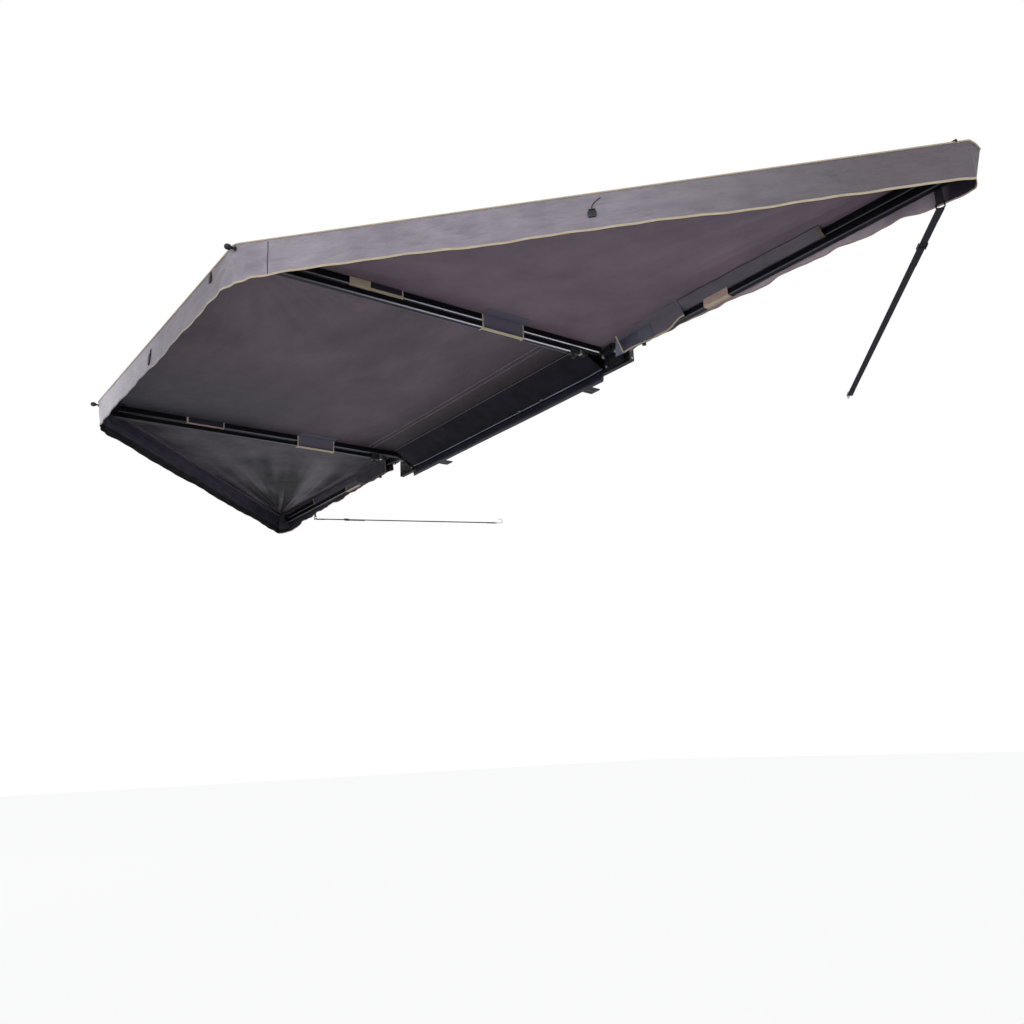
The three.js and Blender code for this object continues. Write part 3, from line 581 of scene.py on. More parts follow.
def canvasLightAndShade(cloth, tone):
    # by its run from the rear end: painted shade, darkest at that end and lighter past the rear corner, and
    # painted light at the front one
    run = cloth.axis(0)
    first = ((1 - run.rise(0.2, 1.5)) * 0.75).blend(tone, clothTones["canvasShadeTone"])
    second = (run.rise(2.36, 2.5) * (1 - run.rise(2.9, 3.6)) * 0.45).blend(first, clothTones["canvasShadeTone"])
    return (run.rise(3.3, 4.0) * 0.7).blend(second, clothTones["canvasLightTone"])


def flapPocketShade(cloth, tone):
    # painted shade inside the end pocket
    return cloth.axis(0).rise(1.38, 1.48).blend(tone, paint(44, 40, 50))


canvas = makeClothFinish("grey_canvas", *clothTones["canvas"], crease=0.012, stretch=(0.55, 1.6))
canvasValance = makeClothFinish("valance_canvas", *clothTones["canvas"], crease=0.036, stretch=(0.5, 1.3),
                                tint=canvasLightAndShade, fine=0.42)
# rear, middle, front and flap linings are painted lit and shaded copies of one cloth
liningRear = makeClothFinish("rear_lining", *clothTones["rear"], crease=0.010, pulls=clothPulls["rear"])
liningMiddle = makeClothFinish("middle_lining", *clothTones["middle"], crease=0.010, stretch=(0.6, 1.5),
                               tint=middleShading, pulls=clothPulls["middle"])
liningFront = makeClothFinish("front_lining", *clothTones["front"], crease=0.014, pulls=clothPulls["front"])
liningFlap = makeClothFinish("flap_lining", *clothTones["flap"], crease=0.010, stretch=(1.0, 0.6),
                             tint=flapPocketShade)
liningDark = makeClothFinish("valance_lining", *clothTones["valance"], crease=0.014, stretch=(0.3, 2.4),
                             tint=valanceTint)
sleeveCloth = makeClothFinish("sleeve_cloth", *clothTones["sleeve"], crease=0.012, stretch=(0.6, 1.8))
# painted shade: a darker copy of the sleeve cloth, for the front arm's sleeve, skirt and flap
sleeveShaded = makeClothFinish("shaded_sleeve_cloth", *clothTones["sleeveShaded"], crease=0.012, stretch=(0.6, 1.8))
hoodVinyl = makeVinylFinish("hood_vinyl", paint(25, 24, 36), paint(12, 11, 18), 0.6, 0.005, shine=0.14)
vinyl = makeVinylFinish("navy_vinyl", paint(36, 36, 50), paint(25, 24, 37))
wrapVinyl = makeVinylFinish("wrap_vinyl", paint(34, 33, 48), paint(24, 23, 36), pale=paint(98, 94, 108))
skirtVinyl = makeVinylFinish("skirt_vinyl", paint(62, 66, 82), paint(44, 46, 60), 0.4, 0.006)
vinylPale = makeVinylFinish("pale_vinyl", paint(132, 138, 154), paint(88, 92, 112), 0.28, 0.008)
tanTones = (paint(212, 198, 172), paint(182, 166, 140))
tanTape = makeTapeFinish("tan_tape", *tanTones)
hemTape = makeTapeFinish("hem_tape", *tanTones, fade=(2.2, 3.2, paint(150, 143, 146)))  # greyer to the front
tanWrap = makeTapeFinish("tan_wrap", paint(186, 160, 150), paint(160, 136, 128), 0.004)
blackTape = makeTapeFinish("black_tape", paint(30, 28, 34), paint(18, 17, 21))
webbing = makeWebbingFinish("black_webbing", paint(48, 48, 58), paint(26, 26, 33), webWidth)
blackSteel = makeGrainFinish("black_steel", paint(24, 24, 27), paint(52, 52, 56), 0.42, 700.0, 0.0003, 0.2)
blackPlastic = makeGrainFinish("black_plastic", paint(25, 25, 28), paint(48, 48, 52), 0.5)
rubber = makeGrainFinish("foot_rubber", paint(26, 26, 27), paint(48, 47, 46), 0.8, 500.0, 0.0005)
greyThread = makeTapeFinish("grey_thread", paint(128, 116, 124), paint(98, 90, 98), 0.003)
# seam tape painted pale: a painted highlight along the seams across the lining
seamHighlightThread = makeTapeFinish("seam_highlight_thread", paint(146, 134, 142), paint(104, 94, 102), 0.003)
darkThread = makeTapeFinish("dark_thread", paint(76, 70, 78), paint(54, 50, 58), 0.003)
khakiTape = makeTapeFinish("khaki_tape", paint(120, 108, 88), paint(92, 82, 68))
brightSteel = makeMetalFinish("bright_steel", paint(205, 207, 210), paint(170, 172, 176), 0.24, 1.0,
                              (20.0, 20.0, 20.0))
bareAluminium = makeMetalFinish("bare_aluminium", paint(196, 197, 200), paint(160, 162, 167), 0.3, 1.0)
railMetal = makeMetalFinish("black_rail", paint(28, 28, 33), paint(46, 46, 52), 0.36, 0.75)
print("finishes made")


# Places read from the frame: pins, corners and heights
def pinOf(letter):
    for joint in frame["joints"]:
        if joint["name"] == f"arm_{letter}_fold":
            return Vector(joint["pos_m"])
    return None


places = {
    "clothWall": 0.0016,
    "endDrop": 0.046,  # how far an outer corner stands out from its arm
    "railSeat": 0.0003,
    "tipShort": 0.012,  # how far a tube ends before its corner
}
pins = {letter: pinOf(letter) for letter in "abcd"}
turns = {"a": -90, "b": 0, "c": -90, "d": 180}
rearLow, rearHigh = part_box("canopy_rear")
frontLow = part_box("canopy_front")[0]
tubeLow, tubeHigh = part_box("arm_tube_a")
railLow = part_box("backing_rail")[0]
canopyTop = rearHigh.z
canopyUnder = canopyTop - places["clothWall"]
armTop, armBottom = tubeHigh.z, tubeLow.z
armHalf = (tubeHigh.x - tubeLow.x) / 2
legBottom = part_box("leg_tube_a")[0].z
railFace = railLow.y - places["railSeat"]
cornerRear = Vector((pins["a"].x, rearLow.y, canopyTop))
cornerFront = Vector((pins["c"].x, frontLow.y, canopyTop))
endRear = Vector((rearHigh.x, pins["b"].y - places["endDrop"], canopyTop))
endFront = Vector((frontLow.x, pins["d"].y - places["endDrop"], canopyTop))
innerReach = pins["a"].y - cornerRear.y - places["tipShort"]
outerReach = rearHigh.x - pins["b"].x - places["tipShort"]
armReach = {"a": innerReach, "b": outerReach, "c": innerReach, "d": outerReach}

# Tones of the painted highlight line at the hub, along the middle and at the tip
paintedHighlightTones = {
    "a": (paint(248, 248, 255), paint(226, 226, 240), paint(96, 96, 106)),
    "b": (paint(60, 62, 70), paint(78, 80, 90), paint(70, 72, 80)),
    "c": (paint(70, 70, 80), paint(126, 126, 138), paint(66, 66, 74)),
    "d": (paint(90, 90, 98), paint(130, 130, 140), paint(100, 100, 108)),
}


def paintedHighlightLine(letter, low):
    # where the painted highlight line on an arm or a leg lies, and its colours from hub to tip
    hubTone, middleTone, tipTone = paintedHighlightTones[letter]
    inner = letter in "ac"
    pin = pins[letter]
    return {
        "along": 1 if inner else 0,
        "across": 0 if inner else 1,
        "pin": (pin.y, pin.x) if inner else (pin.x, pin.y),
        "side": -1 if letter != "b" else 1,
        "low": low,
        "hub": hubTone,
        "middle": middleTone,
        "tip": tipTone,
    }


def armMatrix(letter):
    # from an arm's own frame, +X along it from its pin, to the awning's
    pin = pins[letter]
    return Matrix.Translation((pin.x, pin.y, 0)) @ Matrix.Rotation(math.radians(turns[letter]), 4, "Z")


# Camera at the photograph's view
cameraView = {
    "place": (3.707, -2.690, -1.649),
    "heading": 143.515,
    "climb": 14.102,
    "roll": -2.415,
    "lens": 32.90,
    "sensor": 36.0,
    "clip": 100,
}


def makeCamera():
    heading = math.radians(cameraView["heading"])
    climb = math.radians(cameraView["climb"])
    roll = math.radians(cameraView["roll"])
    level = math.cos(climb)
    ahead = Vector((level * math.cos(heading), level * math.sin(heading), math.sin(climb)))
    right = Vector((math.sin(heading), -math.cos(heading), 0))
    upward = right.cross(ahead)
    rolledRight = right * math.cos(roll) + upward * math.sin(roll)
    rolledUp = upward * math.cos(roll) - right * math.sin(roll)
    camera = bpy.data.objects.new("camera", bpy.data.cameras.new("camera"))
    bpy.context.scene.collection.objects.link(camera)
    turn = Matrix((rolledRight, rolledUp, -ahead)).transposed().to_4x4()
    camera.matrix_world = Matrix.Translation(cameraView["place"]) @ turn
    camera.data.lens = cameraView["lens"]
    camera.data.sensor_width = cameraView["sensor"]
    camera.data.clip_end = cameraView["clip"]
    bpy.context.scene.camera = camera


makeCamera()
print("camera placed")


# Tie straps: webbing from a ring at the flap to a wire hook
strap = {
    "shares": {"b": 0.916, "d": 0.72},
    "behindPin": 0.02285,
    "startHeight": -0.0738,
    "hookAlong": 0.437,
    "hookBehind": 1.031,
    "hookHeight": -0.150,
    "wall": 0.0015,
    "points": 48,
    "foldInset": 0.004,
    "foldRun": 0.06,
    "foldHeights": (-0.0024, -0.0008),
    "tabTop": 0.0434,
    "tabFall": 0.104,
    "edge": 0.0004,
    "keep": 0.03,
}
strapBuckle = {
    "start": 0.20,
    "cheekLow": ((0, -0.0155, -0.0045), (0.034, -0.0130, 0.0045)),
    "cheekHigh": ((0, 0.0130, -0.0045), (0.034, 0.0155, 0.0045)),
    "lever": ((0.009, -0.0128, 0.0016), (0.030, 0.0128, 0.0042)),
    "tail": ((0.02, -0.0118, -0.0040), (0.14, 0.0118, -0.0026)),
    "bars": ((0.003, -0.003), (0.031, 0.003)),
    "barReach": 0.014,
    "barRadius": 0.0022,
}
strapHook = {"mouth": 0.013, "shank": 0.012, "reach": 0.042, "wire": 0.0032, "opening": 0.0035, "bar": 0.0150}
strapRing = {"wire": 0.0022, "height": 0.018, "slack": 0.0015, "lap": 0.003}


def layUv(piece, run, side, origin, width):
    # a UV map in metres, along run and across side
    layer = piece.data.uv_layers.active or piece.data.uv_layers.new(name="UVMap")
    layer.name = "UVMap"
    for loop in piece.data.loops:
        place = piece.data.vertices[loop.vertex_index].co - origin
        layer.data[loop.index].uv = (place.dot(run), place.dot(side) + width / 2)


def makeFolds(name, length):
    # the webbing's ends, sewn back on themselves
    low, high = strap["foldHeights"]
    run = strap["foldRun"]
    folds = []
    for place in (strap["foldInset"], length - strap["foldInset"] - run):
        piece = makeBlock("fold", (place, -webWidth / 2, low), (place + run, webWidth / 2, high), webbing,
                          strap["edge"])
        layUv(settle(piece), Vector((1, 0, 0)), Vector((0, 1, 0)), Vector(), webWidth)
        folds.append(piece)
    return join(name, folds)


def makeBuckle(name):
    # cam buckle: a channel frame with two bars, a lever and the strap's loose tail
    start = Vector((strapBuckle["start"], 0, 0))
    parts = []
    for key, finish, edge in (("cheekLow", blackPlastic, 0.0006), ("cheekHigh", blackPlastic, 0.0006),
                              ("lever", blackPlastic, 0.0008), ("tail", webbing, strap["edge"])):
        low, high = strapBuckle[key]
        parts.append(makeBlock(key, start + Vector(low), start + Vector(high), finish, edge))
    reach = strapBuckle["barReach"]
    for along, height in strapBuckle["bars"]:
        low, high = start + Vector((along, -reach, height)), start + Vector((along, reach, height))
        parts.append(makeRod("bar", strapBuckle["barRadius"], low, high, blackSteel, 20))
    return join(name, parts)


def makeHook(name):
    # a bar across the end of the webbing and an open bow of wire
    mouth, reach, wire = strapHook["mouth"], strapHook["reach"], strapHook["wire"]
    last = strapHook["shank"] + strapHook["opening"]
    line = []
    for k in range(9):
        line.append(Vector((lerp(0, reach - mouth, k / 8), 0, 0)))
    for k in range(1, 15):
        turn = math.radians(-90 + 180 * k / 14)
        line.append(Vector((reach - mouth + mouth * math.cos(turn), 0, mouth + mouth * math.sin(turn))))
    for k in range(1, 7):
        line.append(Vector((lerp(reach - mouth, last, k / 6), 0, 2 * mouth)))
    bow = sweep("bow", line, roundSection(wire, 12), brightSteel, ways=[(0, 1, 0)] * len(line))
    bar = makeRod("bar", wire, (0, -strapHook["bar"], 0), (0, strapHook["bar"], 0), brightSteel, 20)
    return join(name, [bow, bar])


def makeStrapRing(name, x, y, tabLow):
    # four rods with a ball at each corner
    wide = webWidth / 2 + strapRing["slack"]
    top = tabLow + strapRing["lap"]
    low = top - strapRing["height"]
    plan = ((-wide, top), (wide, top), (wide, low), (-wide, low))
    corners = [Vector((x + across, y, z)) for across, z in plan]
    parts = []
    for k in range(4):
        parts.append(makeRod("ring", strapRing["wire"], corners[k], corners[(k + 1) % 4], blackSteel, 16))
        clearSelection()
        bpy.ops.mesh.primitive_uv_sphere_add(segments=16, ring_count=8, radius=strapRing["wire"],
                                             location=corners[k])
        knot = settle(bpy.context.object)
        coat(knot, blackSteel)
        parts.append(knot)
    ring = join(name, parts)
    smoothen(ring, 50)
    return ring


def makeStrap(letter, word):
    side = 1 if letter == "b" else -1
    pin = pins[letter]
    start = Vector((pin.x + side * armReach[letter] * strap["shares"][letter], pin.y + strap["behindPin"],
                    strap["startHeight"]))
    end = Vector((pin.x + side * strap["hookAlong"], pin.y + strap["hookBehind"], strap["hookHeight"]))
    pull = (end - start).normalized()
    across = Vector((0, 0, 1)).cross(pull).normalized()
    upward = pull.cross(across)
    length = (end - start).length
    count = strap["points"]
    line = [start.lerp(end, k / count) for k in range(count + 1)]
    section = boxSection(webWidth, strap["wall"], -strap["wall"] / 2)
    band = sweep(f"tie_strap_{word}_band", line, section, webbing, ways=[upward] * (count + 1))
    layUv(band, pull, across, start, webWidth)

    fit = Matrix((pull, across, upward)).transposed().to_4x4()
    fold = settle(makeFolds(f"tie_strap_{word}_folds", length), Matrix.Translation(start) @ fit)
    buckle = settle(makeBuckle(f"tie_strap_{word}_buckle"), Matrix.Translation(start) @ fit)
    hook = settle(makeHook(f"tie_strap_{word}_hook"), Matrix.Translation(end) @ fit)

    # the tab behind the flap, with the ring at its lower end
    tabTop, tabLow = strap["tabTop"], strap["tabTop"] - strap["tabFall"]
    half = Vector((webWidth / 2, strap["wall"] / 2, 0))
    tab = makeBlock(f"tie_strap_{word}_tab", Vector((start.x, start.y, tabLow)) - half,
                    Vector((start.x, start.y, tabTop)) + half, webbing, strap["edge"])
    layUv(tab, Vector((0, 0, 1)), Vector((1, 0, 0)), start, webWidth)
    ring = makeStrapRing(f"tie_strap_{word}_ring", start.x, start.y, tabLow)

    slots = {band: "webbing", fold: "webbing", buckle: "black_steel", hook: "bright_steel", tab: "webbing",
             ring: "black_steel"}
    for piece, slot in slots.items():
        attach(piece, f"arm_{letter}")
        if piece not in (tab, ring):
            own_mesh(piece)
    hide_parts(f"tie_strap_{word}")
    [tuple(point) for point in line]


makeStrap("b", "rear")
makeStrap("d", "front")
print("straps made")


# Cloth and the arms. Each outer panel point's share of a fan about the outer pin is worked out, and the points are
# then put back; the middle halves go with the root
fan = {"start": -1.6, "span": 90.0, "pleat": 0.35, "pleatCount": 14, "fade": 8}


def fanShare(letter, point):
    pin = pins[letter]
    side = 1 if letter == "b" else -1
    across = (point.x - pin.x) * side
    outward = pin.y - point.y
    angle = math.degrees(math.atan2(across, outward))
    if angle < -90:
        angle = 0
    fade = ease(angle / fan["fade"]) * ease((90 - angle) / fan["fade"])
    pleat = fan["pleat"] * math.sin(math.radians(angle) * fan["pleatCount"]) * fade
    return min(max((angle + pleat - fan["start"]) / fan["span"], 0.0), 1.0)


def fanOut(piece, outer):
    places = [vertex.co.copy() for vertex in piece.data.vertices]
    for vertex, place in zip(piece.data.vertices, places):
        vertex.co = (unease(fanShare(outer, place)), 0, 0)
    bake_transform(piece)
    for vertex, place in zip(piece.data.vertices, places):
        vertex.co = place
    piece.data.update()


def follow(piece, part):
    # part is rear or front for the fans, and middleRear or middleFront for the halves between the inner arms
    if part == "rear":
        fanOut(piece, "b")
    elif part == "front":
        fanOut(piece, "d")
    else:
        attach(piece, "root")
        joint = "arm_a_fold" if part == "middleRear" else "arm_c_fold"
        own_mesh(piece)


# Canopy surfaces, as heights over the plan
canopy = {
    "sag": 0.014,
    "wall": 0.0012,
    "creaseDepth": 0.0045,
    "ripple": 0.0012,
    "step": 0.018,
    "innerGap": 0.0004,
    "behindPin": 0.0216,
}
# folds at the corners of each panel: where, how many, their share of the depth, their reach and turn
creases = {
    "middle": ((cornerRear, 22, 0.55, 0.9, 0.4), (cornerFront, 22, 0.6, 0.9, 1.1)),
    "rear": ((endRear, 30, 0.7, 1.3, 0.2), (cornerRear, 24, 0.6, 1.0, 2.0)),
    "front": ((endFront, 21, 2.2, 1.25, 0.9), (cornerFront, 24, 0.7, 0.9, 0.3)),
}


def cornerCreases(x, y, panel):
    # folds that fan out from the stretched corners and fade
    lift = 0.0
    for corner, count, share, reach, turn in creases[panel]:
        away = math.hypot(x - corner.x, y - corner.y)
        fade = ease(away / 0.12) * max(0.0, 1 - away / reach) ** 1.4
        wave = 0.5 + 0.5 * math.sin(count * math.atan2(y - corner.y, x - corner.x) + turn)
        lift += canopy["creaseDepth"] * share * fade * wave
    return lift


def outerEdge(x):
    # how far out the middle panel reaches, by the place along the rail
    return lerp(cornerRear.y, cornerFront.y, (cornerRear.x - x) / (cornerRear.x - cornerFront.x))


def middleHeight(x, y):
    u = (cornerRear.x - x) / (cornerRear.x - cornerFront.x)
    v = min(max((railFace - y) / (railFace - outerEdge(x)), 0), 1)
    sag = canopy["sag"] * math.sin(math.pi * u) ** 2 * math.sin(math.pi * v) ** 2
    ripple = canopy["ripple"] * math.sin(9 * y + 2.1 * x) * math.sin(math.pi * u) ** 2 * math.sin(math.pi * v)
    return canopyTop - sag + (cornerCreases(x, y, "middle") + ripple) * ease(v / 0.08)


def outerHeight(x, y, side):
    pin = pins["b"] if side > 0 else pins["d"]
    corner = cornerRear if side > 0 else cornerFront
    end = endRear if side > 0 else endFront
    p = max(abs(x) - abs(corner.x), 0) / (abs(end.x) - abs(corner.x))
    q = max((pin.y - y) / (pin.y - corner.y), 0)
    sag = canopy["sag"] * p * p * q * q * max(1 - p - q, 0) / (0.4 ** 4 / 5)  # greatest where p and q are 0.4
    inside = ease(q / 0.05) * ease(max(1 - p - q, 0) / 0.04 + 0.15)
    return canopyTop - sag + cornerCreases(x, y, "rear" if side > 0 else "front") * inside


def makeMiddlePanel(word, start, end):
    step = canopy["step"]
    columns = round(abs(end - start) / step)
    rows = round(abs(cornerRear.y) / step)

    def place(u, v):
        x = lerp(start, end, u)
        y = lerp(railFace, outerEdge(x), v)
        return Vector((x, y, middleHeight(x, y)))

    size = (abs(end - start), abs(cornerFront.y))
    panel = makeSheet(f"middle_panel_{word}", columns, rows, place, (0, 0, 1), canopy["wall"], size,
                      (canvas, liningMiddle), 1)
    layUv(panel, Vector((1, 0, 0)), Vector((0, 1, 0)), Vector(), 0)
    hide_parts("canopy_middle")
    follow(panel, "middleRear" if word == "rear" else "middleFront")


def makeOuterPanel(word, side):
    step = canopy["step"]
    corner = cornerRear if side > 0 else cornerFront
    end = endRear if side > 0 else endFront
    pin = pins["b"] if side > 0 else pins["d"]
    inner = corner.x + side * canopy["innerGap"]
    top = pin.y + canopy["behindPin"]
    columns = round(abs(end.x - inner) / step)
    rows = round(abs(cornerRear.y) / step)

    def place(u, v):
        x = lerp(inner, end.x, u)
        y = lerp(top, lerp(corner.y, end.y, u), v)
        return Vector((x, y, outerHeight(x, y, side)))

    size = (abs(end.x - inner), abs(top - corner.y))
    finishes = (canvas, liningRear if side > 0 else liningFront)
    panel = makeSheet(f"{word}_panel", columns, rows, place, (0, 0, 1), canopy["wall"], size, finishes, 1)
    layUv(panel, Vector((1, 0, 0)), Vector((0, 1, 0)), Vector(), 0)
    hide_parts(f"canopy_{word}")
    follow(panel, word)


makeMiddlePanel("rear", cornerRear.x, 0.0)
makeMiddlePanel("front", 0.0, cornerFront.x)
makeOuterPanel("rear", 1)
makeOuterPanel("front", -1)
print("canopy made")


# Hem: the line that the valances follow. Its corners round off towards the lower edge
hem = {
    "drop": 0.130,
    "gap": 0.0035,
    "wave": 0.0055,
    "corner": 0.012,
    "cornerGrow": 0.11,
    "overlap": 0.06,
    "binding": 0.0075,
    "piping": 0.0026,
    "tape": 0.0017,
    "ripple": 0.0016,
    "cornerPull": 0.0035,
    "endPull": 0.0025,
    "seam": 0.122,
    "step": 0.016,
    "wall": 0.0011,
}
hemCorners = [endRear, cornerRear, cornerFront, endFront]
hemStarts = [0.0]
for before, after in zip(hemCorners, hemCorners[1:]):
    hemStarts.append(hemStarts[-1] + (after - before).length)


def hemSpot(s, v):
    # place and outward way at run s from the rear end, v of the way down the valance
    half = hem["corner"] + hem["cornerGrow"] * v
    for k in (1, 2):
        away = s - hemStarts[k]
        if abs(away) < half:
            before = (hemCorners[k] - hemCorners[k - 1]).normalized()
            after = (hemCorners[k + 1] - hemCorners[k]).normalized()
            t = (away + half) / (2 * half)
            first = hemCorners[k] - before * half
            last = hemCorners[k] + after * half
            spot = first * (1 - t) ** 2 + hemCorners[k] * 2 * t * (1 - t) + last * t * t
            run = (before * (1 - t) + after * t).normalized()
            return spot, Vector((-run.y, run.x, 0))
    k = 1 if s < hemStarts[1] else 2 if s < hemStarts[2] else 3
    run = (hemCorners[k] - hemCorners[k - 1]).normalized()
    return hemCorners[k - 1] + run * (s - hemStarts[k - 1]), Vector((-run.y, run.x, 0))


def valanceSpot(s, v):
    spot, outward = hemSpot(s, v)
    swing = hem["gap"] + hem["wave"] * v * (0.5 + 0.5 * math.sin(2 * math.pi * s / 0.41 + 0.8))
    swing += hem["ripple"] * ease(v / 0.2) * math.sin(2 * math.pi * s / 0.137 + 3.1 * v)
    for k in (1, 2):
        away = s - hemStarts[k]
        ray = math.atan2(0.02 + hem["drop"] * v, away)
        swing += hem["cornerPull"] * math.exp(-(away / 0.2) ** 2) * ease(v / 0.15) * math.sin(13 * ray + k)
    for end in (hemStarts[0], hemStarts[3]):
        away = abs(s - end)
        ray = math.atan2(0.02 + hem["drop"] * v, away)
        swing += hem["endPull"] * math.exp(-(away / 0.25) ** 2) * ease(v / 0.15) * math.sin(11 * ray)
    spot = spot + outward * swing
    dip = 0.003 * math.sin(2 * math.pi * s / 0.83) * v
    return Vector((spot.x, spot.y, canopyTop + 0.0004 - hem["drop"] * v + dip)), outward


def makeValance(name, node, start, end, part):
    columns = round((end - start) / hem["step"])

    def place(u, v):
        return valanceSpot(lerp(start, end, u), v)[0]

    outward = hemSpot((start + end) / 2, 0.5)[1]
    size = (end - start, hem["drop"])
    finishes = (canvasValance, liningDark)
    cloth = makeSheet(name, columns, 16, place, outward, hem["wall"], size, finishes, 1, start)
    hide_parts(node)
    follow(cloth, part)
    runs = [lerp(start, end, k / columns) for k in range(columns + 1)]
    lower = [valanceSpot(s, 1.0)[0] for s in runs]
    upper = [valanceSpot(s, 0.0)[0] + hemSpot(s, 0.0)[1] * 0.0015 + Vector((0, 0, 0.0020)) for s in runs]
    outside = boxSection(hem["tape"], hem["binding"], -0.001, -hem["tape"] / 2)
    inside = boxSection(hem["tape"], hem["binding"], -0.0012, hem["tape"] / 2)
    binding = sweep(f"{name}_binding", lower, outside, hemTape, None, start)
    inner = sweep(f"{name}_inner_binding", lower, inside, blackTape)
    piping = sweep(f"{name}_piping", upper, roundSection(hem["piping"], 8), tanTape)
    for piece in (binding, inner, piping):
        follow(piece, part)


middle = (hemStarts[1] + hemStarts[2]) / 2
makeValance("rear_valance", "valance_rear", 0.0, hemStarts[1] + hem["overlap"], "rear")
makeValance("middle_valance_rear", "valance_middle", hemStarts[1] + hem["overlap"], middle, "middleRear")
makeValance("middle_valance_front", "valance_middle", middle, hemStarts[2] - hem["overlap"], "middleFront")
makeValance("front_valance", "valance_front", hemStarts[2] - hem["overlap"], hemStarts[3], "front")
print("valances made")


# Flaps: they hang from the panels' inner edges, behind the outer arms
flap = {
    "start": 1.008,
    "behindPin": 0.0208,
    "wave": 0.0045,
    "ripple": 0.0020,
    "wall": 0.0011,
    "binding": 0.0040,
    "step": 0.014,
    "tuck": 0.030,
}
flapDrops = [
    (1.0, 0.058), (1.25, 0.060), (1.45, 0.064), (1.6, 0.070), (1.72, 0.079), (1.86, 0.073),
    (2.05, 0.081), (2.19, 0.091), (2.27, 0.090), (2.40, 0.108), (2.5, 0.117), (2.58, 0.118),
]


def flapDrop(x):
    # how far the flap hangs, read along it
    return readTable(flapDrops, abs(x)) + 0.0012 * math.sin(51 * x)


def flapSpot(side, along, v):
    line = pins["b" if side > 0 else "d"].y + flap["behindPin"]
    x = lerp(flap["start"], endRear.x - 0.0015 - flap["tuck"] * v, along)
    swing = flap["wave"] * v * math.sin(2 * math.pi * x / 0.236)
    swing += flap["ripple"] * v * math.sin(2 * math.pi * x / 0.083)
    return Vector((side * x, line + swing, canopyTop - 0.0012 - flapDrop(x) * v))


def makeFlap(word, side):
    columns = round((endRear.x - flap["start"]) / flap["step"])

    def place(u, v):
        return flapSpot(side, u, v)

    # the front flap takes the shaded copy of the sleeve cloth, painted shade
    finishes = (canvas, liningFlap if side > 0 else sleeveShaded)
    cloth = makeSheet(f"{word}_flap", columns, 10, place, (0, 1, 0), flap["wall"], (1.56, 0.11), finishes, 1)
    binding = sweep(f"{word}_flap_binding", [flapSpot(side, k / columns, 1.0) for k in range(columns + 1)],
                    boxSection(0.0026, flap["binding"], -0.001), tanWrap)
    for piece, finish in ((cloth, "canvas"), (binding, "webbing")):
        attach(piece, "arm_b" if side > 0 else "arm_d")


makeFlap("rear", 1)
makeFlap("front", -1)


# End pockets: the cloth turns round in a smooth U from the end of the valance to the end of the flap
pocket = {"columns": 24, "rows": 12, "bulge": 0.003, "wall": 0.0011, "size": (0.09, 0.12), "binding": 0.0055}


def makePocket(word, side):
    columns = pocket["columns"]

    def place(u, v):
        first = valanceSpot(0.0 if side > 0 else hemStarts[3], v)[0]
        spot = first.lerp(flapSpot(side, 1.0, v), u)
        bulge = pocket["bulge"] * math.sin(math.pi * u)
        return spot + Vector((side * bulge, 0, -bulge * v))

    finishes = (canvasValance, liningDark)
    cloth = makeSheet(f"{word}_end_pocket", columns, pocket["rows"], place, (side, 0, 0), pocket["wall"],
                      pocket["size"], finishes, 1)
    lower = [place(k / columns, 1.0) for k in range(columns + 1)]
    upper = [place(k / columns, 0.0) + Vector((side * 0.0012, 0, 0.0022)) for k in range(columns + 1)]
    binding = sweep(f"{word}_end_binding", lower, boxSection(0.0026, pocket["binding"], -0.001), tanWrap)
    piping = sweep(f"{word}_end_piping", upper, roundSection(hem["piping"], 8), tanTape)
    for piece, finish in ((cloth, "canvas"), (binding, "webbing"), (piping, "webbing")):
        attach(piece, "arm_b" if side > 0 else "arm_d")


makePocket("rear", 1)
makePocket("front", -1)
print("flaps made")


# Hood: a navy band from the canopy's underside down to the travel cover, in two halves
hood = {
    "half": 0.832,
    "outY": -0.160,
    "inY": -0.0325,
    "lowZ": -0.037,
    "sag": 0.006,
    "ripple": 0.0015,
    "endFade": 0.10,
    "wall": 0.0012,
    "step": 0.02,
    "rows": 12,
    "bead": 0.0030,
    "seam": (0.0026, 0.0007),
    "keep": 0.1,
}


def hoodSpot(x, v):
    ends = ease((hood["half"] - abs(x)) / hood["endFade"])
    y = lerp(hood["outY"], hood["inY"], v)
    sag = (hood["sag"] + hood["ripple"] * math.sin(17 * x + 4 * v)) * math.sin(math.pi * v)
    z = lerp(canopyUnder - 0.0012, hood["lowZ"], v ** 1.15) - sag
    return Vector((x, y, lerp(z + 0.004 * v, z, ends)))


def makeHood(word, side):
    columns = round(hood["half"] / hood["step"])

    def place(u, v):
        return hoodSpot(side * hood["half"] * (1 - u), v)

    part = "middleRear" if side > 0 else "middleFront"
    cloth = makeSheet(f"hood_{word}", columns, hood["rows"], place, (0, -1, -1), hood["wall"],
                      (hood["half"], 0.15), (hoodVinyl, hoodVinyl))
    runs = [side * hood["half"] * (1 - k / columns) for k in range(columns + 1)]
    rim = [hoodSpot(x, 1.0) for x in runs]
    bead = sweep(f"hood_bead_{word}", rim, roundSection(hood["bead"], 10), vinylPale)
    line = [hoodSpot(x, 0.02) + Vector((0, -0.0006, -0.0016)) for x in runs]
    ways = [(0, -0.5, -1)] * len(line)
    seam = sweep(f"hood_seam_{word}", line, boxSection(*hood["seam"]), greyThread, ways)
    for piece, finish in ((cloth, "vinyl"), (bead, "vinyl"), (seam, "webbing")):
        follow(piece, part)


makeHood("rear", 1)
makeHood("front", -1)


# Travel cover: empty, unzipped and hanging from the rail's lower groove
cover = {
    "half": 0.832,
    "top": -0.0455,
    "drop": 0.049,
    "belly": 0.0105,
    "columns": 84,
    "rows": 24,
    "girth": 0.12,
}


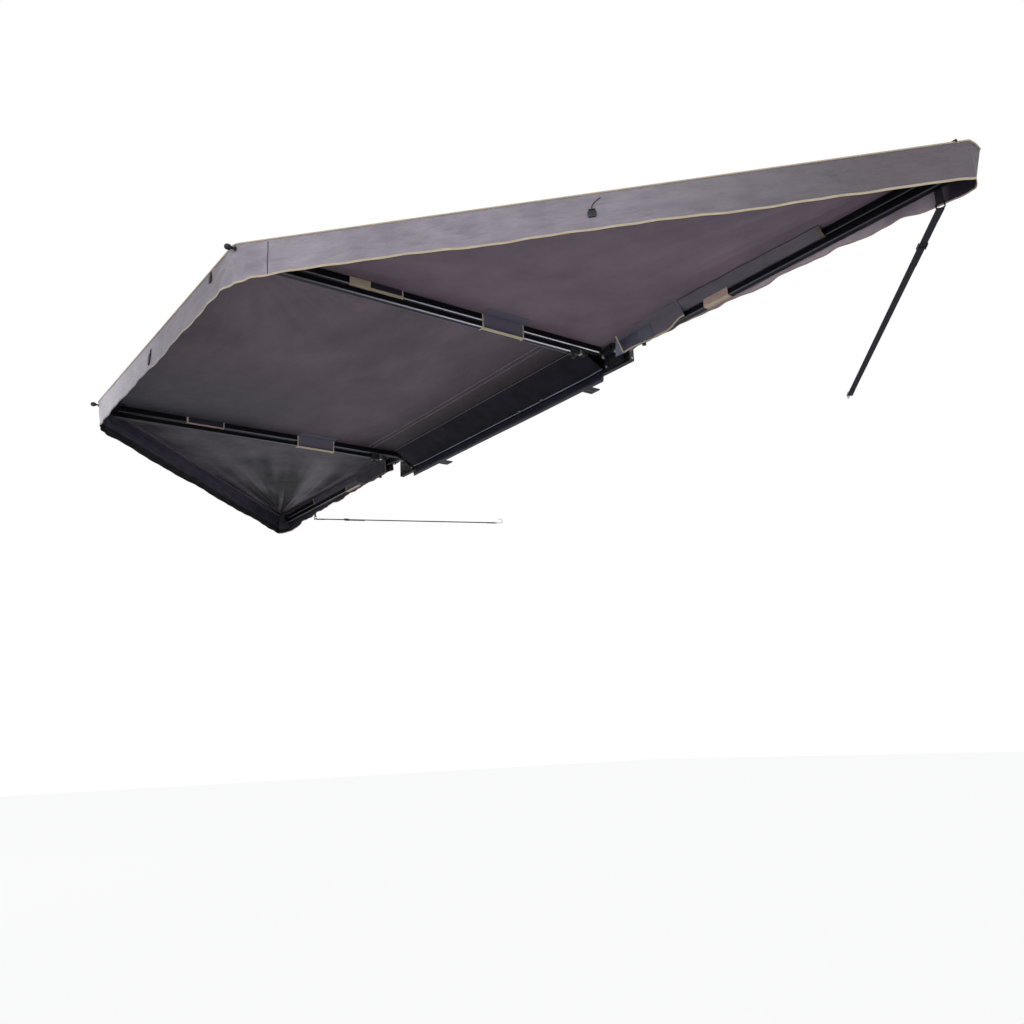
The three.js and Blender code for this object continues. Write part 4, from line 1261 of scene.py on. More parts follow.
def coverSpot(x, v):
    turn = 2 * math.pi * v
    slack = 1 + 0.10 * math.sin(9.0 * x + 1.0) + 0.05 * math.sin(31 * x)
    depth = 0.5 - 0.5 * math.cos(turn)
    front = math.sin(turn)
    width = cover["belly"] * (0.25 + 0.75 * ease(depth / 0.55)) * slack
    y = railFace - 0.0012 - width * (0.5 + 0.48 * front * min(1, 2.2 * math.sqrt(depth * (1 - depth)) + 0.1))
    z = cover["top"] - cover["drop"] * depth * (0.985 + 0.012 * math.sin(7 * x))
    return Vector((x, y, z))


def makeCover():
    def place(u, v):
        return coverSpot(lerp(-cover["half"], cover["half"], u), v)

    size = (2 * cover["half"], cover["girth"])
    body = makeTube("cover_body", cover["columns"], cover["rows"], place, size, vinyl)
    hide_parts("travel_cover")
    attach(body, "root")


makeCover()
print("hood and cover made")


# Leg wraps: bands that hold a folded leg up to its arm. Those of the inner arms end in a patch under the canopy
wrap = {
    "wall": 0.0016,
    "slack": 0.0010,
    "rows": 36,
    "patchRows": 14,
    "step": 0.009,
    "edge": 0.0050,
    "corner": (0.003, 0.004),
    "underCloth": 0.0008,
}
wraps = {
    "a": {"shares": (0.273, 0.397), "side": 1, "room": 0.0, "patch": 0.050, "edges": (0.0, 1.0)},
    "b": {"shares": (0.328, 0.404), "side": -1, "room": 0.0026, "patch": 0.0, "edges": ()},
    "c": {"shares": (0.263, 0.393), "side": 1, "room": 0.0, "patch": 0.050, "edges": (0.0, 1.0)},
    "d": {"shares": (0.27, 0.376), "side": 1, "room": 0.0026, "patch": 0.0, "edges": (1.0,)},
}


def onArm(letter, along, across, height):
    spot = armMatrix(letter) @ Vector((along, across, 0))
    return Vector((spot.x, spot.y, height))


def underCanopy(letter, along, across):
    # the height just below the cloth over a place on an arm
    spot = armMatrix(letter) @ Vector((along, across, 0))
    if cornerFront.x < spot.x < cornerRear.x:
        return middleHeight(spot.x, spot.y) - canopy["wall"] - 0.0004
    return outerHeight(spot.x, spot.y, 1 if spot.x > 0 else -1) - canopy["wall"] - 0.0004


def makeBand(name, start, end, rows, span, finish, spot):
    # a strip of cloth round an arm, whose points are spot(along, row)
    columns = max(4, round((end - start) / wrap["step"]))

    def place(u, v):
        return spot(lerp(start, end, u), round(v * rows))

    band = makeGrid(name, columns, rows, place, (end - start, span))
    coat(band, finish, finish)
    thicken(band, wrap["wall"], 0, 0, 0.0)
    return band


def makeEdge(name, along, rows, width, finish, spot, heart):
    # binding round the end of a band
    spots = [spot(along, k) for k in range(rows + 1)]
    return sweep(name, spots, boxSection(width, 0.0026, -0.0013), finish, [point - heart for point in spots])


def hold(piece, letter, finish, folds=True):
    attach(piece, f"arm_{letter}")
    if folds:
        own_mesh(piece)


def makeWrap(letter, shape):
    start, end = (armReach[letter] * share for share in shape["shares"])
    half = armHalf + wrap["slack"] + wrap["wall"] / 2 + shape["room"]
    low = legBottom - wrap["slack"] - wrap["wall"] / 2
    side = shape["side"]

    def spot(along, row):
        # round arm and leg
        wide = side * half
        inner = side * (half - wrap["corner"][0])
        rise = low + wrap["corner"][1]
        first = (wide, underCanopy(letter, along, wide) - wrap["underCloth"])
        last = (-wide, underCanopy(letter, along, -wide))
        corners = [first, (wide, rise), (inner, low), (-inner, low), (-wide, rise), last]
        return onArm(letter, along, *layPoints(corners, wrap["rows"])[row])

    def patchSpot(along, row):
        # flat under the canopy beside the arm
        across = side * (half + wrap["wall"] / 2 + shape["patch"] * (1 - row / wrap["patchRows"]))
        return onArm(letter, along, across, underCanopy(letter, along, across) - wrap["underCloth"])

    finish = tanWrap if letter == "b" else wrapVinyl
    span = 2 * (canopyUnder - low) + 2 * half
    band = makeBand(f"wrap_{letter}_band", start, end, wrap["rows"], span, finish, spot)
    back = armMatrix(letter).inverted()

    def isTan(centre, normal):
        # the half of the underside that faces the wrap's side
        return centre.z < low + 0.0022 and (back @ centre).y * side > 0.001

    finishFaces(band, tanTape, isTan)
    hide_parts(f"wrap_{letter}")
    hold(band, letter, "vinyl")
    if shape["patch"]:
        patch = makeBand(f"wrap_{letter}_patch", start, end, wrap["patchRows"], shape["patch"], finish,
                         patchSpot)
        hold(patch, letter, "vinyl", False)
        if letter == "a":
            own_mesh(patch)
    edges = []
    tape = tanTape if letter in "ac" else tanWrap
    for share in shape["edges"]:
        along = lerp(start + 0.002, end - 0.002, share)
        heart = onArm(letter, along, 0, (canopyUnder + low) / 2)
        edges.append(makeEdge("edge", along, wrap["rows"], wrap["edge"], tape, spot, heart))
    if edges:
        hold(join(f"wrap_{letter}_edges", edges), letter, "webbing")


for letter, shape in wraps.items():
    makeWrap(letter, shape)
print("wraps made")


# Sewn details under the canopy: tapes that lie on its lining
seams = {
    "step": 0.03,
    "wall": 0.0007,
    "gap": 0.0001,
    "crossLines": (-0.318, -0.288),
    "crossWidth": 0.0036,
    "crossInset": 0.02,
    "hemWidth": 0.002,
    "hemShare": 0.985,
    "hemInset": 0.022,
    "hemPoints": 30,
    "outerNear": (0.02, 0.030),
    "outerFar": (0.03, 0.0295),
}


def underSpot(x, y, part):
    if part.startswith("middle"):
        return middleHeight(x, y)
    return outerHeight(x, y, 1 if part == "rear" else -1)


def underTape(name, spots, width, finish, part):
    # spots are plan points, and the tape lies flat against the lining
    count = len(spots) - 1

    def place(u, v):
        k = round(u * count)
        here = Vector(spots[k])
        ahead = (Vector(spots[min(k + 1, count)]) - Vector(spots[max(k - 1, 0)])).normalized()
        point = here + Vector((-ahead.y, ahead.x)) * (v - 0.5) * width
        height = underSpot(point.x, point.y, part) - canopy["wall"] - seams["gap"]
        return Vector((point.x, point.y, height))

    run = sum((Vector(b) - Vector(a)).length for a, b in zip(spots, spots[1:]))
    tape = makeGrid(name, count, 3, place, (run, width))
    face(tape, (0, 0, 1))
    coat(tape, finish)
    thicken(tape, seams["wall"])
    return tape


def straight(first, last):
    first, last = Vector(first), Vector(last)
    count = max(2, round((last - first).length / seams["step"]))
    return [tuple(first.lerp(last, k / count)) for k in range(count + 1)]


def hemInset(x):
    # a point just inside the middle panel's hem
    return x * seams["hemShare"], outerEdge(x) + seams["hemInset"]


def sewMiddle(word, part, start, end):
    # two lines across, beside the rail, and one along the hem
    first = min(start, cornerRear.x - seams["crossInset"])
    last = max(end, cornerFront.x + seams["crossInset"])
    lines = []
    # the tapes across are real seams, painted pale as their highlight
    for y in seams["crossLines"]:
        across = straight((first, y), (last, y))
        lines.append(underTape("cross_line", across, seams["crossWidth"], seamHighlightThread, part))
    tape = join(f"cross_seam_{word}", lines)
    count = seams["hemPoints"]
    inset = [hemInset(lerp(start, end, k / count)) for k in range(count + 1)]
    stitching = underTape(f"hem_seam_{word}", inset, seams["hemWidth"], greyThread, part)
    for piece in (tape, stitching):
        follow(piece, part)


def sewOuter(word, side):
    corner = cornerRear if side > 0 else cornerFront
    end = endRear if side > 0 else endFront
    near, far = seams["outerNear"], seams["outerFar"]
    inset = straight((corner.x + side * near[0], corner.y + near[1]), (end.x - side * far[0], end.y + far[1]))
    stitching = underTape(f"hem_seam_outer_{word}", inset, seams["hemWidth"], greyThread, word)
    follow(stitching, word)


sewMiddle("rear", "middleRear", cornerRear.x, 0.0)
sewMiddle("front", "middleFront", 0.0, cornerFront.x)
sewOuter("rear", 1)
sewOuter("front", -1)


# Corner patches: black vinyl sewn under the canopy where a corner pin comes out
cornerPatch = {"size": 0.125, "wall": 0.0005, "start": 0.004, "inset": 0.006, "waist": 0.22}


def makeCornerPatch(name, part, corner, toward, inward):
    first = (Vector(toward) - Vector(corner)).normalized()
    second = Vector(inward).normalized()

    def place(u, v):
        way = (first * (1 - v) + second * v).normalized()
        waist = 1 - cornerPatch["waist"] * math.sin(math.pi * v)
        reach = cornerPatch["start"] + u * cornerPatch["size"] * waist
        spot = Vector(corner) + (first + second).normalized() * cornerPatch["inset"] + way * reach
        height = underSpot(spot.x, spot.y, part) - canopy["wall"] - seams["gap"]
        return Vector((spot.x, spot.y, height))

    patch = makeGrid(name, 8, 10, place, (cornerPatch["size"], cornerPatch["size"]))
    face(patch, (0, 0, 1))
    coat(patch, blackTape)
    thicken(patch, cornerPatch["wall"])
    follow(patch, part)


plans = [(spot.x, spot.y) for spot in hemCorners]
makeCornerPatch("corner_patch_rear_end", "rear", plans[0], plans[1], (-1, 0.02))
makeCornerPatch("corner_patch_rear", "rear", (plans[1][0] + 0.0004, plans[1][1]), plans[0], (0.01, 1))
makeCornerPatch("corner_patch_middle_rear", "middleRear", plans[1], plans[2], (-0.01, 1))
makeCornerPatch("corner_patch_middle_front", "middleFront", plans[2], plans[1], (0.01, 1))
makeCornerPatch("corner_patch_front", "front", (plans[2][0] - 0.0004, plans[2][1]), plans[3], (-0.01, 1))
makeCornerPatch("corner_patch_front_end", "front", plans[3], plans[2], (1, 0.02))


# Eyelets where the inner arms' corner pins pass through the valance
eyelet = {"past": 0.013, "belowTop": 0.0105, "radius": 0.0075, "wire": 0.0019}


def makeRing(name, matrix, radius, wire, finish):
    clearSelection()
    bpy.ops.mesh.primitive_torus_add(major_radius=radius, minor_radius=wire, major_segments=32,
                                     minor_segments=10)
    ring = bpy.context.object
    ring.name = name
    settle(ring, matrix)
    smoothen(ring, 60)
    coat(ring, finish)
    return ring


def makeEyelet(letter):
    place = Matrix.Translation((armReach[letter] + eyelet["past"], 0, armTop - eyelet["belowTop"]))
    upright = Matrix.Rotation(math.radians(90), 4, "Y")
    ring = makeRing(f"eyelet_{letter}", armMatrix(letter) @ place @ upright, eyelet["radius"], eyelet["wire"],
                    blackSteel)
    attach(ring, f"arm_{letter}")


makeEyelet("a")
makeEyelet("c")


# The outer arms' corner pins are short and end inside the pockets
endPin = {"start": -0.045, "end": 0.002, "radius": 0.0050, "knob": 0.0072}


def makeEndPin(letter):
    reach = armReach[letter]
    height = armTop - eyelet["belowTop"]
    base = onArm(letter, reach + endPin["start"], 0, height)
    tip = onArm(letter, reach + endPin["end"], 0, height)
    rod = makeRod("rod", endPin["radius"], base, tip, blackSteel, 24)
    clearSelection()
    bpy.ops.mesh.primitive_uv_sphere_add(segments=24, ring_count=12, radius=endPin["knob"], location=tip)
    knob = settle(bpy.context.object)
    coat(knob, blackSteel)
    pin = join(f"end_pin_{letter}", [rod, knob])
    smoothen(pin, 50)
    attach(pin, f"arm_{letter}")
    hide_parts(f"corner_pin_{letter}")


makeEndPin("b")
makeEndPin("d")


# Small fittings on the valance: webbing tabs with a side-release buckle half
def valanceFrame(s, v):
    spot = valanceSpot(s, v)[0]
    outward = hemSpot(s, v)[1]
    run = Vector((-outward.y, outward.x, 0)) * -1
    lower = (valanceSpot(s, min(v + 0.05, 1))[0] - spot).normalized()
    away = run.cross(lower).normalized()
    if away.dot(outward) < 0:
        away = -away
    return Matrix.Translation(spot) @ Matrix((lower, away.cross(lower), away)).transposed().to_4x4()


valanceTabs = [
    {"name": "tab_rear", "part": "rear", "run": 1.131, "top": 0.41, "fall": 0.030,
     "width": 0.028, "bow": 0.034},
    {"name": "tab_middle_rear", "part": "middleRear", "run": hemStarts[1] + 0.22, "top": 0.03,
     "fall": 0.040, "width": 0.020, "bow": 0.0},
    {"name": "tab_middle_front", "part": "middleFront", "run": hemStarts[1] + 0.908, "top": 0.30,
     "fall": 0.070, "width": 0.020, "bow": 0.0},
    {"name": "tab_front", "part": "front", "run": hemStarts[2] + 1.216, "top": 0.41, "fall": 0.030,
     "width": 0.028, "bow": 0.034},
]
# each layer: shares of the fall, share of the width, heights, finish and rounding
tabLayers = [
    ("web", (0.0, 1.0), 0.8, (0.0006, 0.0020), blackTape, 0.0004),
    ("plate", (0.3, 0.95), 1.0, (0.0020, 0.0058), blackPlastic, 0.0012),
    ("rib", (0.45, 0.55), 0.7, (0.0056, 0.0070), blackPlastic, 0.0006),
    ("rib", (0.7, 0.8), 0.7, (0.0056, 0.0070), blackPlastic, 0.0006),
]


def makeValanceTab(tab):
    matrix = valanceFrame(tab["run"], tab["top"])
    parts = []
    for name, falls, share, heights, finish, edge in tabLayers:
        half = share * tab["width"] / 2
        low = (tab["fall"] * falls[0], -half, heights[0])
        high = (tab["fall"] * falls[1], half, heights[1])
        parts.append(makeBlock(name, low, high, finish, edge))
    piece = settle(join(f"{tab['name']}_buckle", parts), matrix)
    follow(piece, tab["part"])
    if tab["bow"]:
        line = []
        for k in range(13):
            share = k / 12
            away = 0.0022 + 0.002 * math.sin(math.pi * share)
            line.append(matrix @ Vector((-tab["bow"] * share, 0.03 * share * share, away)))
        cord = sweep(f"{tab['name']}_loop", line, roundSection(0.0013, 8), blackTape)
        follow(cord, tab["part"])


for tab in valanceTabs:
    makeValanceTab(tab)


# A bright grommet near the front end of the front valance
grommet = {"fromEnd": 0.138, "fall": 0.56, "away": 0.0008, "radius": 0.0070, "wire": 0.0021}


def makeGrommet():
    lay = valanceFrame(hemStarts[3] - grommet["fromEnd"], grommet["fall"])
    lay = lay @ Matrix.Translation((0, 0, grommet["away"]))
    ring = makeRing("valance_grommet", lay, grommet["radius"], grommet["wire"], brightSteel)
    follow(ring, "front")


# A small black tab on the top of the rear hem
hemTab = {"run": 0.040, "low": (-0.008, -0.004, 0.001), "high": (0.008, 0.003, 0.009)}


def makeHemTab():
    spot = valanceSpot(hemTab["run"], 0.0)[0]
    tab = makeBlock("hem_tab", spot + Vector(hemTab["low"]), spot + Vector(hemTab["high"]), blackTape, 0.001)
    follow(tab, "rear")


def makeValanceSeam():
    # a sewn joint down the rear valance, near its corner
    s = hemStarts[1] - hem["seam"]
    spots = [valanceSpot(s, 0.04 + 0.9 * k / 16)[0] + hemSpot(s, k / 16)[1] * 0.0006 for k in range(17)]
    seam = sweep("valance_seam_rear", spots, boxSection(0.0030, 0.0008, -0.0004), darkThread,
                 [hemSpot(s, 0.5)[1]] * 17)
    follow(seam, "rear")


makeGrommet()
makeHemTab()
makeValanceSeam()
print("sewn details made")


# Cuffs on the inner arms: a loop of cloth round the arm tube alone, with a block of tan at the tip end
cuffs = {
    "a": {"start": 1.020, "end": 1.240, "block": 0.085, "lip": 0.0075},
    "c": {"start": 1.056, "end": 1.246, "block": 0.008, "lip": 0.0040},
}
cuffShape = {
    "slack": 0.0016,
    "under": 0.0020,
    "gap": 0.0003,
    "rows": 24,
    "girth": 0.11,
    "lipOut": 0.0014,
    "lipIn": 0.0040,
    "lipRows": 8,
    "edge": 0.0040,
}


def makeCuff(letter, cuff):
    start, end = cuff["start"], cuff["end"]
    split = end - cuff["block"]
    half = armHalf + cuffShape["slack"]
    low = armBottom - cuffShape["under"]
    top = canopyUnder - cuffShape["gap"]
    rows, lipRows, girth = cuffShape["rows"], cuffShape["lipRows"], cuffShape["girth"]

    def around(grow):
        wide, deep = half + grow, low - grow
        line = layPoints([(wide, top), (wide, deep), (-wide, deep), (-wide, top)], rows)

        def spot(along, row):
            return onArm(letter, along, *line[row])

        return spot

    wide, deep = half + cuffShape["lipOut"], low - cuffShape["lipOut"]
    lip = layPoints([(wide, low + cuff["lip"]), (wide, deep), (half - cuffShape["lipIn"], deep)], lipRows)

    def lipSpot(along, row):
        return onArm(letter, along, *lip[row])

    heart = onArm(letter, start, 0, (canopyUnder + low) / 2)
    tan = makeBand(f"cuff_{letter}_tan", split, end, rows, girth, tanTape, around(0.0006))
    navy = makeBand(f"cuff_{letter}_navy", start + 0.002, split, rows, girth, vinyl, around(0.0))
    tape = tanTape if letter == "a" else tanWrap
    edges = [makeBand("edge", start, split, lipRows, 0.02, tape, lipSpot),
             makeEdge("edge", start, rows, cuffShape["edge"], tanTape, around(0.0012), heart)]
    trim = join(f"cuff_{letter}_edges", edges)
    for piece, finish in ((tan, "webbing"), (navy, "vinyl"), (trim, "webbing")):
        hold(piece, letter, finish, False)


for letter, cuff in cuffs.items():
    makeCuff(letter, cuff)


# Sleeves on the outer arms: the panel's cloth goes round the arm tube. Its outer side slopes from the canopy
sleeve = {
    "start": 0.200,
    "end": 1.085,
    "columns": 80,
    "rows": 40,
    "girth": 0.15,
    "wall": 0.0011,
    "slack": 0.0014,
    "under": 0.0016,
    "cuff": (-0.012, 0.003),
}
sleeveReach = {
    "b": [(0.07, 0.034), (0.26, 0.054), (0.45, 0.057), (0.72, 0.054), (0.98, 0.045), (1.11, 0.042)],
    "d": [(0.07, 0.034), (0.39, 0.038), (0.72, 0.034), (0.98, 0.030), (1.11, 0.028)],
}


def sleeveLine(letter, along, grow=0.0):
    # (across, height) points from the flap's side round the arm and up to the canopy
    side = -1 if letter == "b" else 1
    half = armHalf + sleeve["slack"] + grow
    low = armBottom - sleeve["under"] - grow
    reach = readTable(sleeveReach[letter], along) + grow + 0.0015 * math.sin(2 * math.pi * along / 0.17)
    wave = 0.0022 * math.sin(2 * math.pi * along / 0.21 + 1.0)
    wave += 0.0012 * math.sin(2 * math.pi * along / 0.083)
    top = underCanopy(letter, along, side * reach)
    other = underCanopy(letter, along, -side * half)
    middle = (side * (lerp(half, reach, 0.5) + wave), lerp(low, top, 0.5) - 0.0015 - abs(wave))
    return layPoints([(-side * half, other), (-side * half, low), (side * half, low - 0.0004), middle,
                      (side * reach, top)], sleeve["rows"])


def makeSleeve(letter):
    columns, girth = sleeve["columns"], sleeve["girth"]

    def place(u, v):
        along = lerp(sleeve["start"], sleeve["end"], u)
        return onArm(letter, along, *sleeveLine(letter, along)[round(v * sleeve["rows"])])

    def cuffSpot(along, row):
        return onArm(letter, along, *sleeveLine(letter, along, 0.0012)[row])

    length = sleeve["end"] - sleeve["start"]
    cloth = makeGrid(f"sleeve_{letter}", columns, sleeve["rows"], place, (length, girth))
    # the front sleeve takes the shaded copy, painted shade
    coat(cloth, sleeveCloth if letter == "b" else sleeveShaded)
    thicken(cloth, sleeve["wall"], 0, 0, 0.0)
    first, last = (sleeve["end"] + past for past in sleeve["cuff"])
    cuff = makeBand(f"sleeve_{letter}_end", first, last, sleeve["rows"], girth, khakiTape, cuffSpot)
    ridge = [place(k / columns, 1.0) + Vector((0, 0, -0.0008)) for k in range(columns + 1)]
    seam = sweep(f"sleeve_{letter}_seam", ridge, boxSection(0.0036, 0.0014, -0.0007), blackTape)
    for piece, finish in ((cloth, "canvas"), (cuff, "webbing"), (seam, "webbing")):
        hold(piece, letter, finish, False)


makeSleeve("b")
makeSleeve("d")


# Skirts: beside each outer arm's hub a navy patch and a loose length of cloth hide arm and leg
# the front skirt's cloth is the shaded copy, painted shade
skirtFinishes = {"b": (sleeveCloth, skirtVinyl, tanTape), "d": (sleeveShaded, vinyl, khakiTape)}
skirt = {
    "start": 0.070,
    "end": 0.430,
    "navyEnd": 0.260,
    "navyTop": 0.3,
    "navyOut": 0.0016,
    "low": -0.036,
    "away": 0.0188,
    "wall": 0.0011,
    "columns": 40,
    "rows": 16,
    "size": (0.19, 0.08),
}


def skirtSpot(letter, along, v):
    side = -1 if letter == "b" else 1
    share = (along - skirt["start"]) / (skirt["end"] - skirt["start"])
    reach = readTable(sleeveReach[letter], along) + 0.004
    top = underCanopy(letter, along, side * reach)
    low = skirt["low"] + 0.020 * ease((share - 0.72) / 0.28) + 0.004 * math.sin(9 * share)
    lean = 0.022 * (1 - v) * ease((0.12 - share) / 0.12)
    swing = 0.0045 * v * math.sin(2 * math.pi * share * 2.3 + 0.5) * ease((share - 0.35) / 0.3) + 0.0012 * v
    across = lerp(reach, skirt["away"], v ** 0.8) + swing
    return onArm(letter, along - lean, side * across, lerp(top, low, v))


def makeSkirt(letter):
    turn = armMatrix(letter).to_3x3()
    way = turn @ Vector((0, -1 if letter == "b" else 1, 0))
    columns, rows, size = skirt["columns"], skirt["rows"], skirt["size"]

    def placeCloth(u, v):
        return skirtSpot(letter, lerp(skirt["start"], skirt["end"], u), v)

    def placeNavy(u, v):
        along = lerp(skirt["start"], skirt["navyEnd"], u)
        return skirtSpot(letter, along, lerp(skirt["navyTop"], 1.0, v)) + way * skirt["navyOut"]

    clothFinish, navyFinish, tape = skirtFinishes[letter]
    cloth = makeSheet(f"skirt_{letter}_cloth", columns, rows, placeCloth, way, skirt["wall"], size,
                      (clothFinish, clothFinish))
    navy = makeSheet(f"skirt_{letter}_navy", columns, rows, placeNavy, way, skirt["wall"], size,
                     (navyFinish, navyFinish))
    lower = [placeCloth(k / 60, 1.0) + way * 0.0007 for k in range(61)]
    upright = [placeCloth(0.0, k / 16) + way * 0.0012 for k in range(17)]
    edges = [sweep("edge", lower, boxSection(0.0034, 0.0065, -0.002), tape),
             sweep("edge", upright, boxSection(0.0034, 0.006, -0.003), tape, [turn @ Vector((1, 0, 0))] * 17)]
    trim = join(f"skirt_{letter}_trim", edges)
    for piece, finish in ((cloth, "canvas"), (navy, "vinyl"), (trim, "webbing")):
        hold(piece, letter, finish, False)


makeSkirt("b")
makeSkirt("d")
print("cuffs, sleeves and skirts made")


# Hardware: a copy of each CAD solid with merged faces, rounded edges and its finish
bodyOf = {}
for body, nodes in frame["record"]["behaviour"]["bodies"].items():
    for node in nodes:
        bodyOf[node] = body


def dressNode(name, width, finish):
    source = frame["nodes"][name]
    piece = source.copy()
    piece.data = source.data.copy()
    bpy.context.scene.collection.objects.link(piece)
    piece.parent = None
    piece.matrix_world = source.matrix_world
    piece.name = f"{name}_dressed"
    settle(piece)
    choose(piece)
    bpy.ops.object.mode_set(mode="EDIT")
    bpy.ops.mesh.select_all(action="SELECT")
    bpy.ops.mesh.remove_doubles(threshold=2e-6)
    bpy.ops.mesh.dissolve_limited(angle_limit=math.radians(1.0))
    bpy.ops.mesh.normals_make_consistent(inside=False)
    bpy.ops.object.mode_set(mode="OBJECT")
    if width:
        addBevel(piece, width, 40)
        applyModifiers(piece)
    smoothen(piece, 46)
    piece.modifiers.new("normals", "WEIGHTED_NORMAL").keep_sharp = True
    applyModifiers(piece)
    coat(piece, finish)
    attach(piece, bodyOf[name])
    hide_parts(name)


tubeTones = (paint(22, 22, 27), paint(36, 36, 42))
for letter in "abcd":
    brush = (60.0, 1.0, 60.0) if letter in "ac" else (1.0, 60.0, 60.0)
    for kind, low in (("arm", armBottom), ("leg", legBottom)):
        # each arm and leg finish carries its painted highlight line
        metal = makeMetalFinish(f"{kind}_{letter}_metal", *tubeTones, 0.36, 0.75, brush, paintedHighlightLine(letter, low))
        dressNode(f"{kind}_tube_{letter}", 0.0, metal)
    dressNode(f"leg_inner_{letter}", 0.0, bareAluminium)
    dressNode(f"knuckle_{letter}", 0.0008, blackSteel)
    dressNode(f"arm_tip_{letter}", 0.0008, blackSteel)
    if letter in "ac":
        dressNode(f"corner_pin_{letter}", 0.0, blackSteel)
    dressNode(f"leg_foot_{letter}", 0.0012, rubber)
    dressNode(f"leg_lock_{letter}", 0.0010, blackPlastic)
    dressNode(f"pivot_bolt_{letter}", 0.0006, brightSteel)
dressNode("backing_rail", 0.0, railMetal)
for word in ("rear", "front"):
    dressNode(f"rail_end_cap_{word}", 0.0010, blackPlastic)
    dressNode(f"hub_bracket_{word}", 0.0009, blackSteel)
    dressNode(f"mount_bracket_{word}", 0.0007, blackSteel)
    for level in ("upper", "lower"):
        dressNode(f"mount_bolt_{word}_{level}", 0.0004, brightSteel)
print("hardware made")


# Small fasteners: rivets in the tubes and socket screws in the hub plates
rivet = {
    "radius": 0.0034,
    "under": 0.0003,
    "out": 0.0016,
    "fromHub": (0.046, 0.064),
    "fromTip": (0.106, 0.086),
}
screwLine = -0.0301
hubScrews = {
    "black": (blackSteel, ((0.048, 0.022), (0.048, -0.032))),
    "bright": (brightSteel, ((-0.048, 0.026), (-0.048, -0.032))),
}
capScrew = {"line": -0.012, "heights": (-0.040, 0.040), "sunk": 0.0002, "radius": 0.0045, "height": 0.0028}


def makeRivets(letter):
    reach = armReach[letter]
    matrix = armMatrix(letter)
    height = (armTop + armBottom) / 2
    parts = []
    for along in (*rivet["fromHub"], *(reach - short for short in rivet["fromTip"])):
        for side in (-1, 1):
            start = matrix @ Vector((along, side * (armHalf - rivet["under"]), height))
            end = matrix @ Vector((along, side * (armHalf + rivet["out"]), height))
            parts.append(makeRod("rivet", rivet["radius"], start, end, blackSteel, 20, 0.0008))
    rivets = join(f"rivets_{letter}", parts)
    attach(rivets, f"arm_{letter}")


for letter in "abcd":
    makeRivets(letter)


def makeSocketScrew(name, spot, way, finish, radius=0.0062, height=0.0052):
    # a cylinder head with a hexagonal recess, which faces way
    spot, way = Vector(spot), Vector(way).normalized()
    head = makeRod("head", radius, spot, spot + way * height, finish, 28, 0.0007)
    clearSelection()
    bpy.ops.mesh.primitive_cylinder_add(vertices=6, radius=radius * 0.5, depth=height)
    key = bpy.context.object
    turn = way.to_track_quat("Z", "Y").to_matrix().to_4x4()
    settle(key, Matrix.Translation(spot + way * height) @ turn)
    recess = head.modifiers.new("recess", "BOOLEAN")
    recess.operation = "DIFFERENCE"
    recess.object = key
    applyModifiers(head)
    bpy.data.objects.remove(key)
    smoothen(head)
    head.name = name
    return head


def makeHubScrews(word):
    low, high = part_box(f"hub_bracket_{word}")
    plate = Vector(((low.x + high.x) / 2, screwLine, 0))
    side = 1 if word == "rear" else -1
    for kind, (finish, spots) in hubScrews.items():
        parts = [makeSocketScrew("screw", plate + Vector((side * across, 0, height)), (0, -1, 0), finish)
                 for across, height in spots]
        screws = join(f"hub_screws_{word}_{kind}", parts)
        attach(screws, "root")


def makeCapScrews(word):
    low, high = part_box(f"rail_end_cap_{word}")
    side = 1 if word == "rear" else -1
    outside = (high.x if side > 0 else low.x) - side * capScrew["sunk"]
    parts = [makeSocketScrew("screw", (outside, capScrew["line"], height), (side, 0, 0), brightSteel,
                             capScrew["radius"], capScrew["height"]) for height in capScrew["heights"]]
    screws = join(f"cap_screws_{word}", parts)
    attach(screws, "root")


for word in ("rear", "front"):
    makeHubScrews(word)
    makeCapScrews(word)


# Zip sliders that ride on the hood's bead, with their pulls hanging
sliders = {"slider_rear": 0.395, "slider_middle": 0.215}
# each block: its low and high corners from the bead, its finish and rounding
sliderBlocks = {
    "body": ((-0.009, -0.0075, -0.0045), (0.009, -0.0022, 0.0045), brightSteel, 0.0014),
    "bridge": ((-0.005, -0.0100, -0.0016), (0.005, -0.0070, 0.0016), brightSteel, 0.0008),
    "pull": ((-0.004, -0.0098, -0.0300), (0.004, -0.0082, -0.0010), blackPlastic, 0.0006),
}


def makeSlider(name, x):
    spot = hoodSpot(x, 1.0)
    parts = []
    for key, (low, high, finish, edge) in sliderBlocks.items():
        parts.append(makeBlock(key, spot + Vector(low), spot + Vector(high), finish, edge))
    slider = join(name, parts)
    follow(slider, "middleRear")


for name, x in sliders.items():
    makeSlider(name, x)


# Hub strip: a loose end of pale glossy film beside the rear hub, each corner by its place and height
hubStrip = {
    "upper": ((0.976, 0.040), (1.020, 0.0425)),
    "lower": ((0.972, -0.036), (1.028, -0.040)),
    "ahead": 0.0025,
    "bow": 0.0015,
    "lean": 0.0020,
    "wall": 0.0008,
    "size": (0.06, 0.08),
}


def makeHubStrip():
    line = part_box("hub_bracket_rear")[0].y - hubStrip["ahead"]
    upper = [Vector(corner) for corner in hubStrip["upper"]]
    lower = [Vector(corner) for corner in hubStrip["lower"]]

    def place(u, v):
        spot = upper[0].lerp(upper[1], u).lerp(lower[0].lerp(lower[1], u), v)
        return Vector((spot.x, line - hubStrip["bow"] * math.sin(math.pi * u) - hubStrip["lean"] * v, spot.y))

    strip = makeSheet("hub_strip", 12, 16, place, (0, -1, 0), hubStrip["wall"], hubStrip["size"],
                      (vinylPale, vinylPale))
    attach(strip, "arm_b")


makeHubStrip()
print("fittings made")


